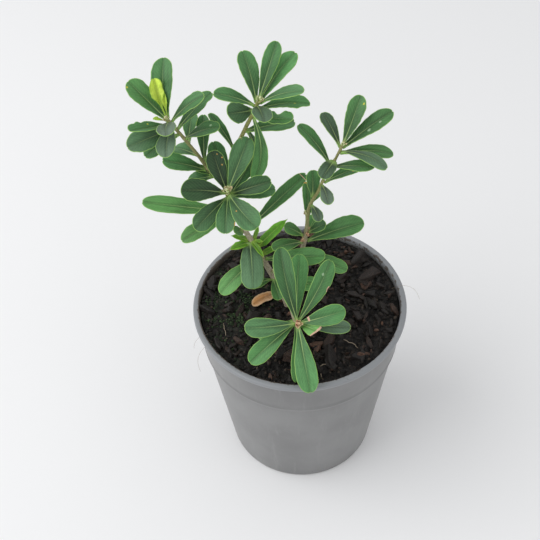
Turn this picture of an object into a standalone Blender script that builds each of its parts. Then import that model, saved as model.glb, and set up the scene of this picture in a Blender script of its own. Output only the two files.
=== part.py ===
"""Potted daphne: a small evergreen shrub in a grey nursery pot. Metres, +Z up, origin under the pot."""
import math

import bmesh
import bpy
from mathutils import Matrix, Vector

MM = 0.001

# Pot, in millimetres
POT_HEIGHT = 137.0
LIP_OUTER_R = 70.0
LIP_INNER_R = 66.0
LIP_HEIGHT = 3.5
LIP_ROUND = 0.8
WALL_TOP_R = 67.8
LEDGE_BELOW_RIM = 30.0
LEDGE_R = 65.5
LEDGE_STEP = 0.6
BASE_R = 52.4
BASE_ROUND = 0.8
WALL = 1.5
FLOOR = 1.8
DRAIN_HOLES = 8
DRAIN_R = 4.0
DRAIN_RING_R = 40.0
TURN_STEPS = 64

# Potting mix, in millimetres
MIX_BELOW_RIM = 2.6
MIX_EDGE_DROP = 2.0
STEM_FOOT_Z = 129.0
SEAT_GAP = 0.3
CUT_OVERRUN = 3.0
CUTTER_SIDES = 16

# Blades
LEAF_THICKNESS = 0.6
BLADE_ROWS = 8
STALK_SHARE = 0.15
WIDEST_AT = 0.72
TIP_CUT = 0.97
LEAF_FOLD = 8.0
YOUNG_FOLD = 20.0
DEAD_FOLD = 12.0

# Stem centrelines in millimetres: x, y, z, radius
STEMS = {
    "main_stem": [
        (-8.0, -1.0, STEM_FOOT_Z, 2.5),
        (-8.0, -1.0, 137.0, 2.5),
        (-16.5, 9.5, 152.0, 2.2),
        (-23.0, 13.0, 166.0, 2.0),
        (-29.0, 16.0, 179.0, 1.9),
        (-35.0, 19.5, 191.0, 1.9),
        (-40.0, 21.5, 207.0, 2.1),
        (-42.0, 24.5, 217.0, 1.9),
        (-47.0, 25.0, 225.0, 1.4),
        (-52.5, 25.0, 234.0, 1.2),
        (-55.5, 25.0, 241.0, 1.15),
        (-62.0, 25.5, 253.0, 1.1),
        (-67.5, 24.5, 264.0, 1.05),
        (-71.5, 22.5, 273.0, 0.95),
    ],
    "middle_twig": [
        (-38.2, 24.0, 216.0, 1.5),
        (-36.8, 26.0, 230.0, 1.4),
        (-34.5, 27.0, 244.0, 1.4),
        (-31.5, 26.0, 252.0, 1.3),
        (-27.0, 26.5, 262.0, 1.3),
        (-23.5, 25.0, 270.0, 1.2),
        (-19.0, 23.0, 282.0, 1.1),
    ],
    "near_shoot": [
        (-40.3, 19.5, 211.5, 1.5),
        (-40.5, 11.5, 222.0, 1.4),
        (-40.5, 5.0, 232.0, 1.2),
    ],
    "right_stem": [
        (-2.0, 4.0, STEM_FOOT_Z, 2.2),
        (-2.0, 4.0, 137.0, 2.2),
        (1.5, 16.0, 157.0, 2.1),
        (5.0, 16.0, 179.0, 1.9),
        (6.5, 16.5, 190.0, 1.5),
        (7.0, 19.5, 200.0, 1.3),
        (10.0, 20.5, 207.0, 1.3),
        (13.5, 21.0, 213.0, 1.2),
        (15.5, 20.0, 221.0, 1.1),
        (17.5, 20.5, 226.0, 1.1),
        (23.5, 18.5, 241.0, 1.0),
        (27.0, 13.5, 256.0, 0.9),
    ],
    "front_stem": [
        (-4.0, -6.0, STEM_FOOT_Z, 1.8),
        (-4.0, -6.0, 137.0, 1.8),
        (-5.5, -17.5, 148.0, 1.6),
        (-4.5, -37.5, 161.0, 1.4),
        (-2.5, -44.0, 167.0, 1.2),
    ],
}
WOODY_STEMS = ("main_stem", "right_stem", "front_stem")

# The way that the upper faces of each shoot's leaves look
LOOKS = {
    "left": (-0.15, -0.25, 1.0),
    "middle": (0.05, -0.2, 1.0),
    "near": (-0.05, -0.68, 0.74),
    "right": (0.1, -0.15, 1.0),
    "front": (0.0, -0.6, 0.8),
    "low": (0.0, -0.4, 1.0),
    "young": (0.0, -0.4, 1.0),
}
OWN_LOOKS = {
    "middle_leaf_6": (-0.1, -0.8, 0.65),
    "left_leaf_5": (-0.15, -0.65, 0.8),
}

# Leaves in millimetres and degrees. Heading 0 is +X and 90 is +Y.
# name, stem, distance below its tip, heading, rise, length, width, arch
LEAVES = [
    ("left_leaf_1", "main_stem", 1.0, 90, 54, 32, 12.5, 0.05),
    ("left_leaf_2", "main_stem", 2.0, 151, 41, 29, 12.0, -0.02),
    ("left_leaf_3", "main_stem", 4.0, 356, 42, 26, 10.5, 0.05),
    ("left_leaf_4", "main_stem", 4.5, 223, 23, 28, 11.0, 0.0),
    ("left_leaf_5", "main_stem", 9.0, 211, 1, 28, 13.0, 0.08),
    ("left_leaf_6", "main_stem", 2.5, 272, 22, 25, 11.0, 0.05),
    ("left_leaf_7", "main_stem", 7.0, 264, -3, 24, 11.5, 0.08),
    ("left_leaf_8", "main_stem", 19.0, 338, 31, 25, 10.5, 0.05),
    ("left_leaf_9", "main_stem", 44.5, 184, 23, 26, 12.0, 0.05),
    ("middle_leaf_1", "middle_twig", 3.5, 110, 53, 28, 10.5, 0.05),
    ("middle_leaf_2", "middle_twig", 1.0, 59, 48, 32, 9.5, 0.05),
    ("middle_leaf_3", "middle_twig", 4.0, 39, 36, 34, 11.0, 0.05),
    ("middle_leaf_4", "middle_twig", 1.5, 341, 26, 27, 10.5, 0.05),
    ("middle_leaf_5", "middle_twig", 5.5, 173, 19, 23, 10.0, 0.05),
    ("middle_leaf_6", "middle_twig", 8.5, 220, 20, 20, 12.0, 0.06),
    ("middle_leaf_7", "middle_twig", 4.0, 278, 19, 26, 11.0, 0.05),
    ("middle_leaf_8", "middle_twig", 7.5, 355, 8, 29, 10.0, 0.05),
    ("middle_leaf_9", "middle_twig", 12.5, 329, 11, 25, 10.0, 0.05),
    ("near_leaf_1", "near_shoot", 5.5, 121, 59, 25, 11.0, 0.05),
    ("near_leaf_2", "near_shoot", 2.0, 52, 48, 32, 13.0, 0.05),
    ("near_leaf_3", "near_shoot", 7.0, 353, 24, 26, 10.5, 0.05),
    ("near_leaf_4", "near_shoot", 4.0, 305, -14, 27, 14.0, 0.05),
    ("near_leaf_5", "near_shoot", 6.5, 265, -18, 24, 11.5, 0.05),
    ("near_leaf_6", "near_shoot", 11.5, 226, -12, 27, 12.0, 0.05),
    ("near_leaf_7", "near_shoot", 4.0, 191, 18, 26, 13.5, 0.05),
    ("right_leaf_1", "right_stem", 5.5, 113, 26, 23, 8.0, 0.05),
    ("right_leaf_2", "right_stem", 2.0, 54, 49, 28, 10.5, 0.05),
    ("right_leaf_3", "right_stem", 5.0, 20, 28, 34, 11.5, 0.05),
    ("right_leaf_4", "right_stem", 10.0, 358, -1, 30, 10.0, 0.05),
    ("right_leaf_5", "right_stem", 7.5, 326, 4, 28, 9.0, 0.05),
    ("right_leaf_6", "right_stem", 22.5, 140, 40, 29, 9.0, 0.05),
    ("right_leaf_7", "right_stem", 18.0, 236, -11, 14, 9.0, 0.05),
    ("right_leaf_8", "right_stem", 36.5, 6, 21, 23, 8.0, 0.05),
    ("right_leaf_9", "right_stem", 38.0, 278, 3, 18, 8.0, 0.05),
    ("right_leaf_10", "right_stem", 72.0, 86, 51, 26, 7.0, 0.05),
    ("low_leaf_1", "main_stem", 78.5, 175, 8, 54, 11.5, -0.05),
    ("low_leaf_2", "main_stem", 81.0, 206, -10, 35, 11.0, 0.05),
    ("low_leaf_3", "main_stem", 97.0, 31, 28, 50, 9.5, 0.05),
    ("low_leaf_4", "main_stem", 105.0, 271, -35, 29, 14.5, 0.05),
    ("low_leaf_5", "main_stem", 117.0, 215, -24, 33, 12.5, 0.05),
    ("low_leaf_6", "main_stem", 121.0, 347, 13, 39, 12.5, 0.05),
    ("low_leaf_7", "right_stem", 84.5, 2, 20, 37, 13.5, 0.05),
    ("young_leaf", "main_stem", 111.0, 26, 33, 25, 6.5, 0.0),
    ("front_leaf_1", "front_stem", 3.5, 105, 46, 45, 12.0, 0.04),
    ("front_leaf_2", "front_stem", 4.5, 48, 40, 41, 11.0, 0.04),
    ("front_leaf_3", "front_stem", 2.5, 358, 22, 28, 12.0, 0.05),
    ("front_leaf_4", "front_stem", 5.5, 322, 10, 13, 9.0, 0.05),
    ("front_leaf_5", "front_stem", 9.5, 355, -7, 32, 9.0, 0.05),
    ("front_leaf_6", "front_stem", 5.5, 186, 4, 30, 12.0, 0.03),
    ("front_leaf_7", "front_stem", 8.0, 212, -22, 35, 12.0, 0.05),
    ("front_leaf_8", "front_stem", 2.5, 279, -37, 40, 13.0, 0.05),
    ("front_leaf_9", "front_stem", 8.5, 268, -45, 35, 9.0, 0.05),
]

# The fallen leaf, in millimetres and degrees
DEAD_STALK_END = (-12.5, 9.2, 135.5)
DEAD_HEADING = 208.0
DEAD_LENGTH = 21.0
DEAD_WIDTH = 8.0
DEAD_ARCH = 0.02

# Material colours: red, green, blue, roughness
COLOURS = {
    "pot": (0.27, 0.28, 0.29, 0.35),
    "potting_mix": (0.03, 0.022, 0.016, 0.95),
    "bark": (0.23, 0.18, 0.13, 0.75),
    "green_twig": (0.19, 0.17, 0.07, 0.6),
    "leaf": (0.07, 0.17, 0.045, 0.4),
    "young_leaf": (0.24, 0.45, 0.05, 0.45),
    "dead_leaf": (0.45, 0.27, 0.12, 0.8),
}


def clear_scene():
    for obj in list(bpy.data.objects):
        bpy.data.objects.remove(obj)


def new_collection(name):
    group = bpy.data.collections.new(name)
    bpy.context.scene.collection.children.link(group)
    return group


def new_material(colour):
    material = bpy.data.materials.new(colour)
    material.use_nodes = True
    shader = material.node_tree.nodes["Principled BSDF"]
    red, green, blue, rough = COLOURS[colour]
    shader.inputs["Base Color"].default_value = (red, green, blue, 1.0)
    shader.inputs["Roughness"].default_value = rough
    shader.inputs["Metallic"].default_value = 0.0
    return material


def add_object(name, data, group, colour):
    obj = bpy.data.objects.new(name, data)
    group.objects.link(obj)
    if colour:
        data.materials.append(new_material(colour))
    return obj


def mesh_from(name, bm):
    """Turns a bmesh in millimetres into a mesh in metres."""
    bmesh.ops.scale(bm, vec=(MM, MM, MM), verts=bm.verts)
    mesh = bpy.data.meshes.new(name)
    bm.to_mesh(mesh)
    bm.free()
    return mesh


def add_turned(name, profile, group, colour):
    """A half section in millimetres, turned about the Z axis."""
    bm = bmesh.new()
    points = [bm.verts.new((radius, 0.0, z)) for radius, z in profile]
    for start, end in zip(points, points[1:]):
        bm.edges.new((start, end))
    if profile[0][0] > 0:
        bm.edges.new((points[-1], points[0]))
    obj = add_object(name, mesh_from(name, bm), group, colour)
    turn = obj.modifiers.new("Turn", "SCREW")
    turn.steps = TURN_STEPS
    turn.render_steps = TURN_STEPS
    turn.use_merge_vertices = True
    turn.merge_threshold = 0.00001
    return obj


def add_cylinders(name, places, low, high, group):
    """Upright cylinders that cut: places lists x, y and radius."""
    bm = bmesh.new()
    for x, y, radius in places:
        bmesh.ops.create_cone(
            bm,
            cap_ends=True,
            segments=CUTTER_SIDES,
            radius1=radius,
            radius2=radius,
            depth=high - low,
            matrix=Matrix.Translation((x, y, (low + high) / 2)),
        )
    return add_object(name, mesh_from(name, bm), group, None)


def cut(obj, cutter):
    cutter.hide_render = True
    cutter.display_type = "WIRE"
    modifier = obj.modifiers.new("Cut", "BOOLEAN")
    modifier.operation = "DIFFERENCE"
    modifier.solver = "EXACT"
    modifier.object = cutter


def pot_profile():
    """Closed half section: over the lip, down the outer side, under the floor and up inside."""
    lip_low = POT_HEIGHT - LIP_HEIGHT
    ledge = POT_HEIGHT - LEDGE_BELOW_RIM
    half_step = LEDGE_STEP / 2
    return [
        (LIP_INNER_R + LIP_ROUND, POT_HEIGHT),
        (LIP_OUTER_R - LIP_ROUND, POT_HEIGHT),
        (LIP_OUTER_R, POT_HEIGHT - LIP_ROUND),
        (LIP_OUTER_R, lip_low + LIP_ROUND),
        (LIP_OUTER_R - LIP_ROUND, lip_low),
        (WALL_TOP_R, lip_low),
        (LEDGE_R, ledge + half_step),
        (LEDGE_R - LEDGE_STEP, ledge - half_step),
        (BASE_R, BASE_ROUND),
        (BASE_R - BASE_ROUND, 0.0),
        (0.0, 0.0),
        (0.0, FLOOR),
        (BASE_R - WALL, FLOOR),
        (LEDGE_R - LEDGE_STEP - WALL, ledge - LEDGE_STEP),
        (LEDGE_R - WALL, ledge),
        (LIP_INNER_R, lip_low - half_step),
        (LIP_INNER_R, POT_HEIGHT - LIP_ROUND),
    ]


def add_pot(group, cutters):
    pot = add_turned("pot", pot_profile(), group, "pot")
    places = []
    for number in range(DRAIN_HOLES):
        angle = 2 * math.pi * (number + 0.5) / DRAIN_HOLES
        places.append((DRAIN_RING_R * math.cos(angle), DRAIN_RING_R * math.sin(angle), DRAIN_R))
    cut(pot, add_cylinders("drain_cutter", places, -CUT_OVERRUN, FLOOR + CUT_OVERRUN, cutters))


def mix_profile():
    """Half section of the filling, from the middle of its top to the middle of its underside."""
    gap = SEAT_GAP + 0.05
    ledge = POT_HEIGHT - LEDGE_BELOW_RIM
    top_r = LIP_INNER_R - gap - LEDGE_STEP / 2
    top = []
    for share in (0.0, 0.45, 0.7, 0.87, 1.0):
        top.append((top_r * share, POT_HEIGHT - MIX_BELOW_RIM - MIX_EDGE_DROP * share**4))
    return top + [
        (LEDGE_R - WALL - gap, ledge + LEDGE_STEP),
        (LEDGE_R - LEDGE_STEP - WALL - gap, ledge - LEDGE_STEP - SEAT_GAP),
        (BASE_R - WALL - gap, FLOOR + SEAT_GAP),
        (0.0, FLOOR + SEAT_GAP),
    ]


def add_potting_mix(group, cutters):
    mix = add_turned("potting_mix", mix_profile(), group, "potting_mix")
    places = []
    for stem in WOODY_STEMS:
        x, y, foot, radius = STEMS[stem][0]
        places.append((x, y, radius + SEAT_GAP + 0.1))
    sockets = add_cylinders("socket_cutter", places, STEM_FOOT_Z - SEAT_GAP, POT_HEIGHT + CUT_OVERRUN, cutters)
    cut(mix, sockets)


def add_stem(name, path, group):
    """A tapering tube along a centreline."""
    curve = bpy.data.curves.new(name, "CURVE")
    curve.dimensions = "3D"
    curve.bevel_depth = MM
    curve.bevel_resolution = 2
    curve.use_fill_caps = True
    spline = curve.splines.new("POLY")
    spline.points.add(len(path) - 1)
    for point, (x, y, z, radius) in zip(spline.points, path):
        point.co = (x * MM, y * MM, z * MM, 1.0)
        point.radius = radius
    add_object(name, curve, group, "bark" if name in WOODY_STEMS else "green_twig")


def point_on(path, below_tip):
    """Point, direction and radius at a distance below the tip of a centreline."""
    steps = [(Vector(end[:3]) - Vector(start[:3])).length for start, end in zip(path, path[1:])]
    left = sum(steps) - below_tip
    for start, end in zip(path, path[1:]):
        first = Vector(start[:3])
        step = Vector(end[:3]) - first
        if left <= step.length or end is path[-1]:
            share = left / step.length
            radius = start[3] + (end[3] - start[3]) * share
            return first + step * share, step.normalized(), radius
        left -= step.length


def direction(heading, rise):
    heading = math.radians(heading)
    rise = math.radians(rise)
    level = math.cos(rise)
    return Vector((math.cos(heading) * level, math.sin(heading) * level, math.sin(rise)))


def half_width(share):
    """Half width of a blade as a share of its widest: a narrow stalk, then a wide round tip."""
    if share < WIDEST_AT:
        rise = math.sin(math.pi / 2 * share / WIDEST_AT) ** 1.4
        return STALK_SHARE + (1 - STALK_SHARE) * rise
    past = TIP_CUT * (share - WIDEST_AT) / (1 - WIDEST_AT)
    return math.sqrt(1 - past**2.4)


def add_blade(name, base, forward, looks, size, shape, group, colour):
    """A leaf: a grid shaped to the outline, arched along the midrib, folded up at both sides and thickened."""
    length, width = size
    arch, fold = shape
    looks = Vector(looks)
    up = (looks - looks.dot(forward) * forward).normalized()
    side = up.cross(forward)
    lift = math.tan(math.radians(fold))
    bm = bmesh.new()
    bmesh.ops.create_grid(bm, x_segments=BLADE_ROWS, y_segments=2, size=1.0)
    for vert in bm.verts:
        row = (vert.co.x + 1) / 2
        share = 1 - (1 - row) ** 1.5
        across = vert.co.y * width / 2 * half_width(share)
        height = arch * length * 4 * share * (1 - share) + lift * abs(across)
        vert.co = base + forward * (length * share) + side * across + up * height
    mesh = mesh_from(name, bm)
    mesh.shade_smooth()
    blade = add_object(name, mesh, group, colour)
    solid = blade.modifiers.new("Thickness", "SOLIDIFY")
    solid.thickness = LEAF_THICKNESS * MM
    solid.offset = 0.0


def add_leaf(row, group):
    name, stem, below_tip, heading, rise, length, width, arch = row
    point, along, radius = point_on(STEMS[stem], below_tip)
    forward = direction(heading, rise)
    outward = (forward - forward.dot(along) * along).normalized()
    base = point + outward * (radius + SEAT_GAP + LEAF_THICKNESS / 2)
    shoot = name.split("_")[0]
    young = shoot == "young"
    shape = (arch, YOUNG_FOLD if young else LEAF_FOLD)
    looks = OWN_LOOKS.get(name, LOOKS[shoot])
    add_blade(name, base, forward, looks, (length, width), shape, group, "young_leaf" if young else "leaf")


def add_dead_leaf(group):
    base = Vector(DEAD_STALK_END)
    forward = direction(DEAD_HEADING, 0.0)
    size = (DEAD_LENGTH, DEAD_WIDTH)
    add_blade("dead_leaf", base, forward, (0.0, 0.0, 1.0), size, (DEAD_ARCH, DEAD_FOLD), group, "dead_leaf")


def main():
    clear_scene()
    group = new_collection("potted_daphne")
    cutters = new_collection("cutters")
    add_pot(group, cutters)
    add_potting_mix(group, cutters)
    for name, path in STEMS.items():
        add_stem(name, path, group)
    for row in LEAVES:
        add_leaf(row, group)
    add_dead_leaf(group)


main()
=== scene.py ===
"""Potted daphne: the finished look of a small evergreen shrub in a grey nursery pot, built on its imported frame."""
import math
import random
from collections import namedtuple

import bmesh
import bpy
import numpy as np
from bpy.props import FloatProperty, FloatVectorProperty, IntProperty, PointerProperty
from mathutils import Matrix, Vector, noise


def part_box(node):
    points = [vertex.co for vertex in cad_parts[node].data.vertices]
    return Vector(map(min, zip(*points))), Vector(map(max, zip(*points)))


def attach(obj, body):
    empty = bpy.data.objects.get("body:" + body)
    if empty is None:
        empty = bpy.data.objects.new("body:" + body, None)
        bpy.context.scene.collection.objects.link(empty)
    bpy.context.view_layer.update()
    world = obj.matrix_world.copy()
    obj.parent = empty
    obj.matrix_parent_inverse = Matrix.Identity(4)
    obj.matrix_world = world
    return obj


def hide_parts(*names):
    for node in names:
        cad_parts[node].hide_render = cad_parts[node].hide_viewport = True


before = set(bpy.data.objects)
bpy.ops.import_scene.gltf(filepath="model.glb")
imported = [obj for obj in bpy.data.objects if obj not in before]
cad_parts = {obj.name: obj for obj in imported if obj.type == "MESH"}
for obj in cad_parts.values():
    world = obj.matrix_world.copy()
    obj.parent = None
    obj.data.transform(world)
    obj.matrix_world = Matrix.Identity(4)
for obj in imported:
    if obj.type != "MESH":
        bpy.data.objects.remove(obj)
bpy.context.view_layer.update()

bl_info = {
    "name": "Potted daphne",
    "version": (1, 0, 0),
    "blender": (4, 5, 0),
    "location": "View3D > Sidebar > Daphne",
    "description": "Models a potted daphne: pot, potting mix, stems, leaves, buds and a plain stage",
    "category": "Object",
}

MM = 0.001
BODY = "root"

POT_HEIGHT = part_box("pot")[1].z
LIP_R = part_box("pot")[1].x
MIX_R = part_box("potting_mix")[1].x

STEMS = ("main_stem", "right_stem", "front_stem", "middle_twig", "near_shoot")
WOODY_STEMS = STEMS[:3]
SHOOTS = ("left", "middle", "near", "right", "front", "low")

# The way that the upper faces of each shoot's leaves look
SHOOT_LOOKS = {
    "left": (-0.15, -0.25, 1.0),
    "middle": (0.05, -0.2, 1.0),
    "near": (-0.05, -0.68, 0.74),
    "right": (0.1, -0.15, 1.0),
    "front": (0.0, -0.6, 0.8),
    "low": (0.0, -0.4, 1.0),
}

# Leaves too small or too hidden for a node of their own, in millimetres and degrees.
# Shoot, stem, distance below its tip, heading (0 is +X, 90 is +Y), rise, length, width
EXTRA_LEAVES = (
    ("left", "main_stem", 10.7, 32, 31, 28, 10),
    ("left", "main_stem", 13.7, 213, -12, 23, 11),
    ("left", "main_stem", 23.2, 85, 8, 23, 9),
    ("left", "main_stem", 39.7, 88, 41, 28, 8),
    ("left", "main_stem", 32.7, 134, -15, 22, 10),
    ("left", "main_stem", 49.2, 175, 31, 12, 6),
    ("left", "main_stem", 51.2, 177, -13, 16, 10),
    ("middle", "middle_twig", 25, 14, 0, 29, 13),
    ("middle", "middle_twig", 24, 16, -78, 30, 9),
    ("middle", "middle_twig", 14, 255, -83, 42, 9.3),
    ("middle", "middle_twig", 41.5, 130, 37, 26, 6),
    ("near", "near_shoot", 15.4, 106, 38, 34, 11),
    ("near", "near_shoot", 15.4, 49, 31, 31, 10),
    ("near", "near_shoot", 15.4, 6, 5, 27, 10),
    ("low", "main_stem", 94.7, 223, 32, 8, 8),
    ("right", "right_stem", 22, 327, 22, 28, 9.5),
    ("right", "right_stem", 50.3, 85, 71, 17, 9),
    ("right", "right_stem", 55.3, 60, 12, 10, 6),
    ("right", "right_stem", 55.3, 288, -11, 13, 7),
    ("low", "main_stem", 136.2, 285, -23, 15, 8),
    ("low", "right_stem", 84.3, 215, 22, 25, 9),
    ("low", "right_stem", 79.0, 190, 44, 16, 8),
    ("low", "right_stem", 76.0, 340, 44, 15, 8),
    ("low", "right_stem", 81.0, 60, 20, 16, 8),
    ("low", "main_stem", 136.0, 205, 6, 16, 7),
    ("low", "main_stem", 140.0, 350, 0, 28, 10),
    ("low", "right_stem", 93.8, 338, -14, 29.5, 10),
    ("front", "front_stem", 9.0, 83, 25, 42, 12),
    ("front", "front_stem", 13.4, 191, -22, 24, 8),
)
YOUNG_LEAVES = (
    ("left", "main_stem", 0.0, 117, 55, 22, 7.5),
    ("left", "main_stem", 0.3, 100, 62, 14, 3),
    ("left", "main_stem", 2.2, 186, 22, 8, 2),
    ("low", "main_stem", 102.7, 186, 32, 12, 4),
    ("low", "main_stem", 104.0, 207, 4, 14, 5),
    ("low", "main_stem", 104.0, 305, -22, 13, 3.2),
    ("low", "main_stem", 104.5, 330, 20, 7, 2.2),
    ("low", "main_stem", 104.5, 60, 40, 9, 2.5),
    ("low", "main_stem", 117.0, 20, 12, 10, 4),
)

# Fold of the two halves in degrees, curl of the tip as a share of the length, twist in degrees, waviness
# and sideways bow as a share of the length, where a leaf differs plainly from its neighbours
LEAF_SHAPES = {
    "front_leaf_1": (20, 0.0, -4, 0.5),
    "front_leaf_2": (9, 0.0, 6, 0.5),
    "front_leaf_3": (7, 0.02, 0, 0.5),
    "front_leaf_4": (10, 0.0, 0, 0.3),
    "front_leaf_6": (9, 0.0, 4, 0.4),
    "front_leaf_7": (16, 0.0, 0, 0.4),
    "front_leaf_8": (15, 0.03, 0, 0.4),
    "middle_leaf_6": (6, -0.12, 10, 1.4),
    "middle_leaf_8": (14, 0.0, -8, 2.0),
    "middle_leaf_9": (18, -0.08, 8, 2.0),
    "left_leaf_4": (16, 0.0, 8, 1.2),
    "left_leaf_5": (16, 0.03, 0, 0.8),
    "right_leaf_4": (3, 0.06, 0, 0.5),
    "right_leaf_5": (-12, 0.10, 0, 0.4),
    "extra_middle_leaf_10": (8, 0.0, 0, 0.6, 0.08),
    "low_leaf_1": (3, 0.02, 0, 0.6),
    "low_leaf_4": (-4, 0.03, 0, 0.8),
    "low_leaf_6": (11, 0.0, 0, 0.5),
    "tip_leaf_1": (32, -0.1, 16, 3.2),
    "tip_leaf_2": (40, 0.0, 0, 1.5),
    "young_leaf": (10, 0.02, 6, 0.8),
    "fallen_leaf": (14, 0.0, 5, 1.4),
}

# Lightness and yellowness of the leaves of each shoot, and of single leaves that differ. Below zero the yellowness
# turns the blade grey: a painted sheen that stands in for the reflection of the light on leaves facing the camera.
SHOOT_TINTS = {
    "left": (1.0, 0.0),
    "middle": (1.05, 0.0),
    "near": (0.9, -0.08),
    "right": (0.95, 0.06),
    "front": (1.2, 0.03),
    "low": (1.2, 0.2),
}
LEAF_TINTS = {
    "left_leaf_2": (1.15, 0.08),
    "left_leaf_5": (0.8, -0.2),
    "left_leaf_6": (0.85, -0.75),
    "left_leaf_7": (0.8, -0.55),
    "middle_leaf_3": (1.3, 0.0),
    "middle_leaf_4": (1.2, -0.1),
    "middle_leaf_6": (0.7, -0.3),
    "middle_leaf_7": (0.8, -0.6),
    "middle_leaf_9": (1.1, 0.05),
    "near_leaf_1": (0.3, -0.1),
    "near_leaf_2": (1.2, -0.1),
    "near_leaf_3": (0.6, 0.0),
    "near_leaf_6": (0.7, -0.1),
    "near_leaf_4": (1.15, -0.15),
    "near_leaf_5": (1.05, -0.1),
    "near_leaf_7": (0.35, -0.1),
    "right_leaf_1": (0.7, -0.3),
    "right_leaf_5": (0.9, -0.6),
    "right_leaf_7": (0.75, -0.75),
    "right_leaf_9": (0.85, -0.5),
    "low_leaf_1": (1.5, 0.15),
    "low_leaf_3": (0.95, 0.05),
    "low_leaf_4": (1.1, -0.3),
    "low_leaf_5": (1.5, 0.3),
    "low_leaf_6": (1.25, 0.1),
    "low_leaf_7": (1.15, 0.05),
    "front_leaf_3": (1.35, 0.0),
    "front_leaf_4": (1.8, 0.6),
    "front_leaf_5": (0.85, -0.4),
    "front_leaf_6": (1.0, -0.2),
    "front_leaf_8": (1.25, -0.1),
    "front_leaf_9": (1.35, 0.2),
    "front_leaf_1": (0.85, 0.0),
    "extra_middle_leaf_10": (1.35, 0.1),
    "extra_right_leaf_19": (0.8, -0.5),
    "extra_low_leaf_23": (0.7, 0.0),
    "tip_leaf_1": (1.3, 1.0),
    "tip_leaf_2": (1.2, 0.8),
    "tip_leaf_3": (1.2, 0.7),
}

ORANGE = (0.58, 0.34, 0.09)
YELLOW = (0.55, 0.55, 0.06)
PINK = (0.66, 0.42, 0.30)
BROWN = (0.16, 0.07, 0.03)
PALE = (0.30, 0.45, 0.26)

# Healed marks: leaf, shares along and across, half sizes in millimetres, colour
MARKS = (
    ("near_leaf_1", 0.89, -0.36, 0.45, 0.4, ORANGE),
    ("near_leaf_1", 0.79, -0.75, 0.5, 0.45, ORANGE),
    ("near_leaf_1", 0.64, -0.5, 0.5, 0.4, ORANGE),
    ("near_leaf_4", 0.44, -0.3, 0.6, 0.5, ORANGE),
    ("near_leaf_5", 0.8, 0.95, 2.0, 0.5, ORANGE),
    ("front_leaf_5", 0.42, -0.3, 0.6, 2.2, PINK),
    ("middle_leaf_8", 0.72, -0.14, 0.7, 0.5, YELLOW),
    ("middle_leaf_9", 0.62, 0.62, 2.2, 0.6, ORANGE),
    ("middle_leaf_3", 0.80, 0.93, 0.9, 0.5, YELLOW),
    ("front_leaf_2", 0.62, -0.93, 2.0, 0.6, PINK),
    ("front_leaf_2", 0.77, 0.21, 1.0, 0.8, PALE),
    ("front_leaf_3", 0.22, 0.25, 0.8, 2.4, PINK),
    ("front_leaf_4", 0.97, 0.0, 0.9, 9.0, PINK),
    ("low_leaf_6", 0.54, -0.43, 0.9, 0.7, BROWN),
    ("low_leaf_6", 0.86, 0.93, 1.1, 0.5, ORANGE),
    ("low_leaf_3", 0.94, 0.0, 0.25, 9.0, PINK),
    ("right_leaf_10", 0.97, 0.0, 0.45, 9.0, ORANGE),
    ("right_leaf_8", 0.79, -0.39, 0.7, 0.6, ORANGE),
    ("right_leaf_2", 0.86, -0.6, 0.8, 0.6, YELLOW),
    ("right_leaf_3", 0.51, -0.35, 1.3, 0.9, PALE),
    ("right_leaf_3", 0.73, -0.3, 0.9, 0.7, PALE),
    ("left_leaf_2", 0.93, 0.5, 0.7, 0.6, YELLOW),
    ("left_leaf_4", 0.5, -0.5, 0.6, 0.5, YELLOW),
    ("left_leaf_8", 0.77, 0.36, 0.9, 0.7, PALE),
    ("extra_left_leaf_7", 0.93, 0.0, 0.7, 0.7, ORANGE),
    ("extra_left_leaf_4", 0.6, 0.3, 0.6, 0.5, ORANGE),
)

# Nibbled edges: leaf, side, share of the length, depth as a share of the half width, width as a share of the length
NIBBLES = (
    ("middle_leaf_9", 1, 0.62, 0.55, 0.10),
    ("middle_leaf_3", 1, 0.80, 0.16, 0.03),
    ("middle_leaf_8", -1, 0.88, 0.14, 0.04),
    ("front_leaf_2", -1, 0.62, 0.10, 0.03),
    ("left_leaf_4", -1, 0.62, 0.18, 0.05),
    ("left_leaf_4", -1, 0.78, 0.14, 0.04),
    ("left_leaf_5", 1, 0.9, 0.12, 0.04),
    ("left_leaf_8", 1, 0.85, 0.14, 0.05),
    ("near_leaf_3", 1, 0.86, 0.12, 0.05),
    ("right_leaf_8", 1, 0.9, 0.2, 0.05),
    ("low_leaf_6", 1, 0.86, 0.08, 0.03),
    ("extra_left_leaf_1", -1, 0.8, 0.25, 0.05),
)


# Shader helpers. A value is a number, a colour or another node's socket.

def put(tree, socket, value):
    if isinstance(value, bpy.types.NodeSocket):
        tree.links.new(value, socket)
    elif isinstance(value, (tuple, list)) and len(value) == 3 and socket.type == "RGBA":
        socket.default_value = (*value, 1.0)
    else:
        socket.default_value = value


def calc(tree, kind, first, second=0.5, third=0.5):
    step = tree.nodes.new("ShaderNodeMath")
    step.operation = kind
    for socket, value in zip(step.inputs, (first, second, third)):
        put(tree, socket, value)
    return step.outputs[0]


def times(tree, first, second):
    return calc(tree, "MULTIPLY", first, second)


def blend(tree, share, first, second, kind="MIX"):
    mix = tree.nodes.new("ShaderNodeMix")
    mix.data_type = "RGBA"
    mix.blend_type = kind
    put(tree, mix.inputs["Factor"], share)
    put(tree, mix.inputs[6], first)
    put(tree, mix.inputs[7], second)
    return mix.outputs[2]


def span(tree, value, low, high, to_low=0.0, to_high=1.0, kind="SMOOTHSTEP"):
    step = tree.nodes.new("ShaderNodeMapRange")
    step.interpolation_type = kind
    for socket, given in zip(step.inputs, (value, low, high, to_low, to_high)):
        put(tree, socket, given)
    return step.outputs[0]


def cloud(tree, place, scale, detail=3.0, rough=0.55, output=0):
    texture = tree.nodes.new("ShaderNodeTexNoise")
    for label, value in (("Vector", place), ("Scale", scale), ("Detail", detail), ("Roughness", rough)):
        put(tree, texture.inputs[label], value)
    return texture.outputs[output]


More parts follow.
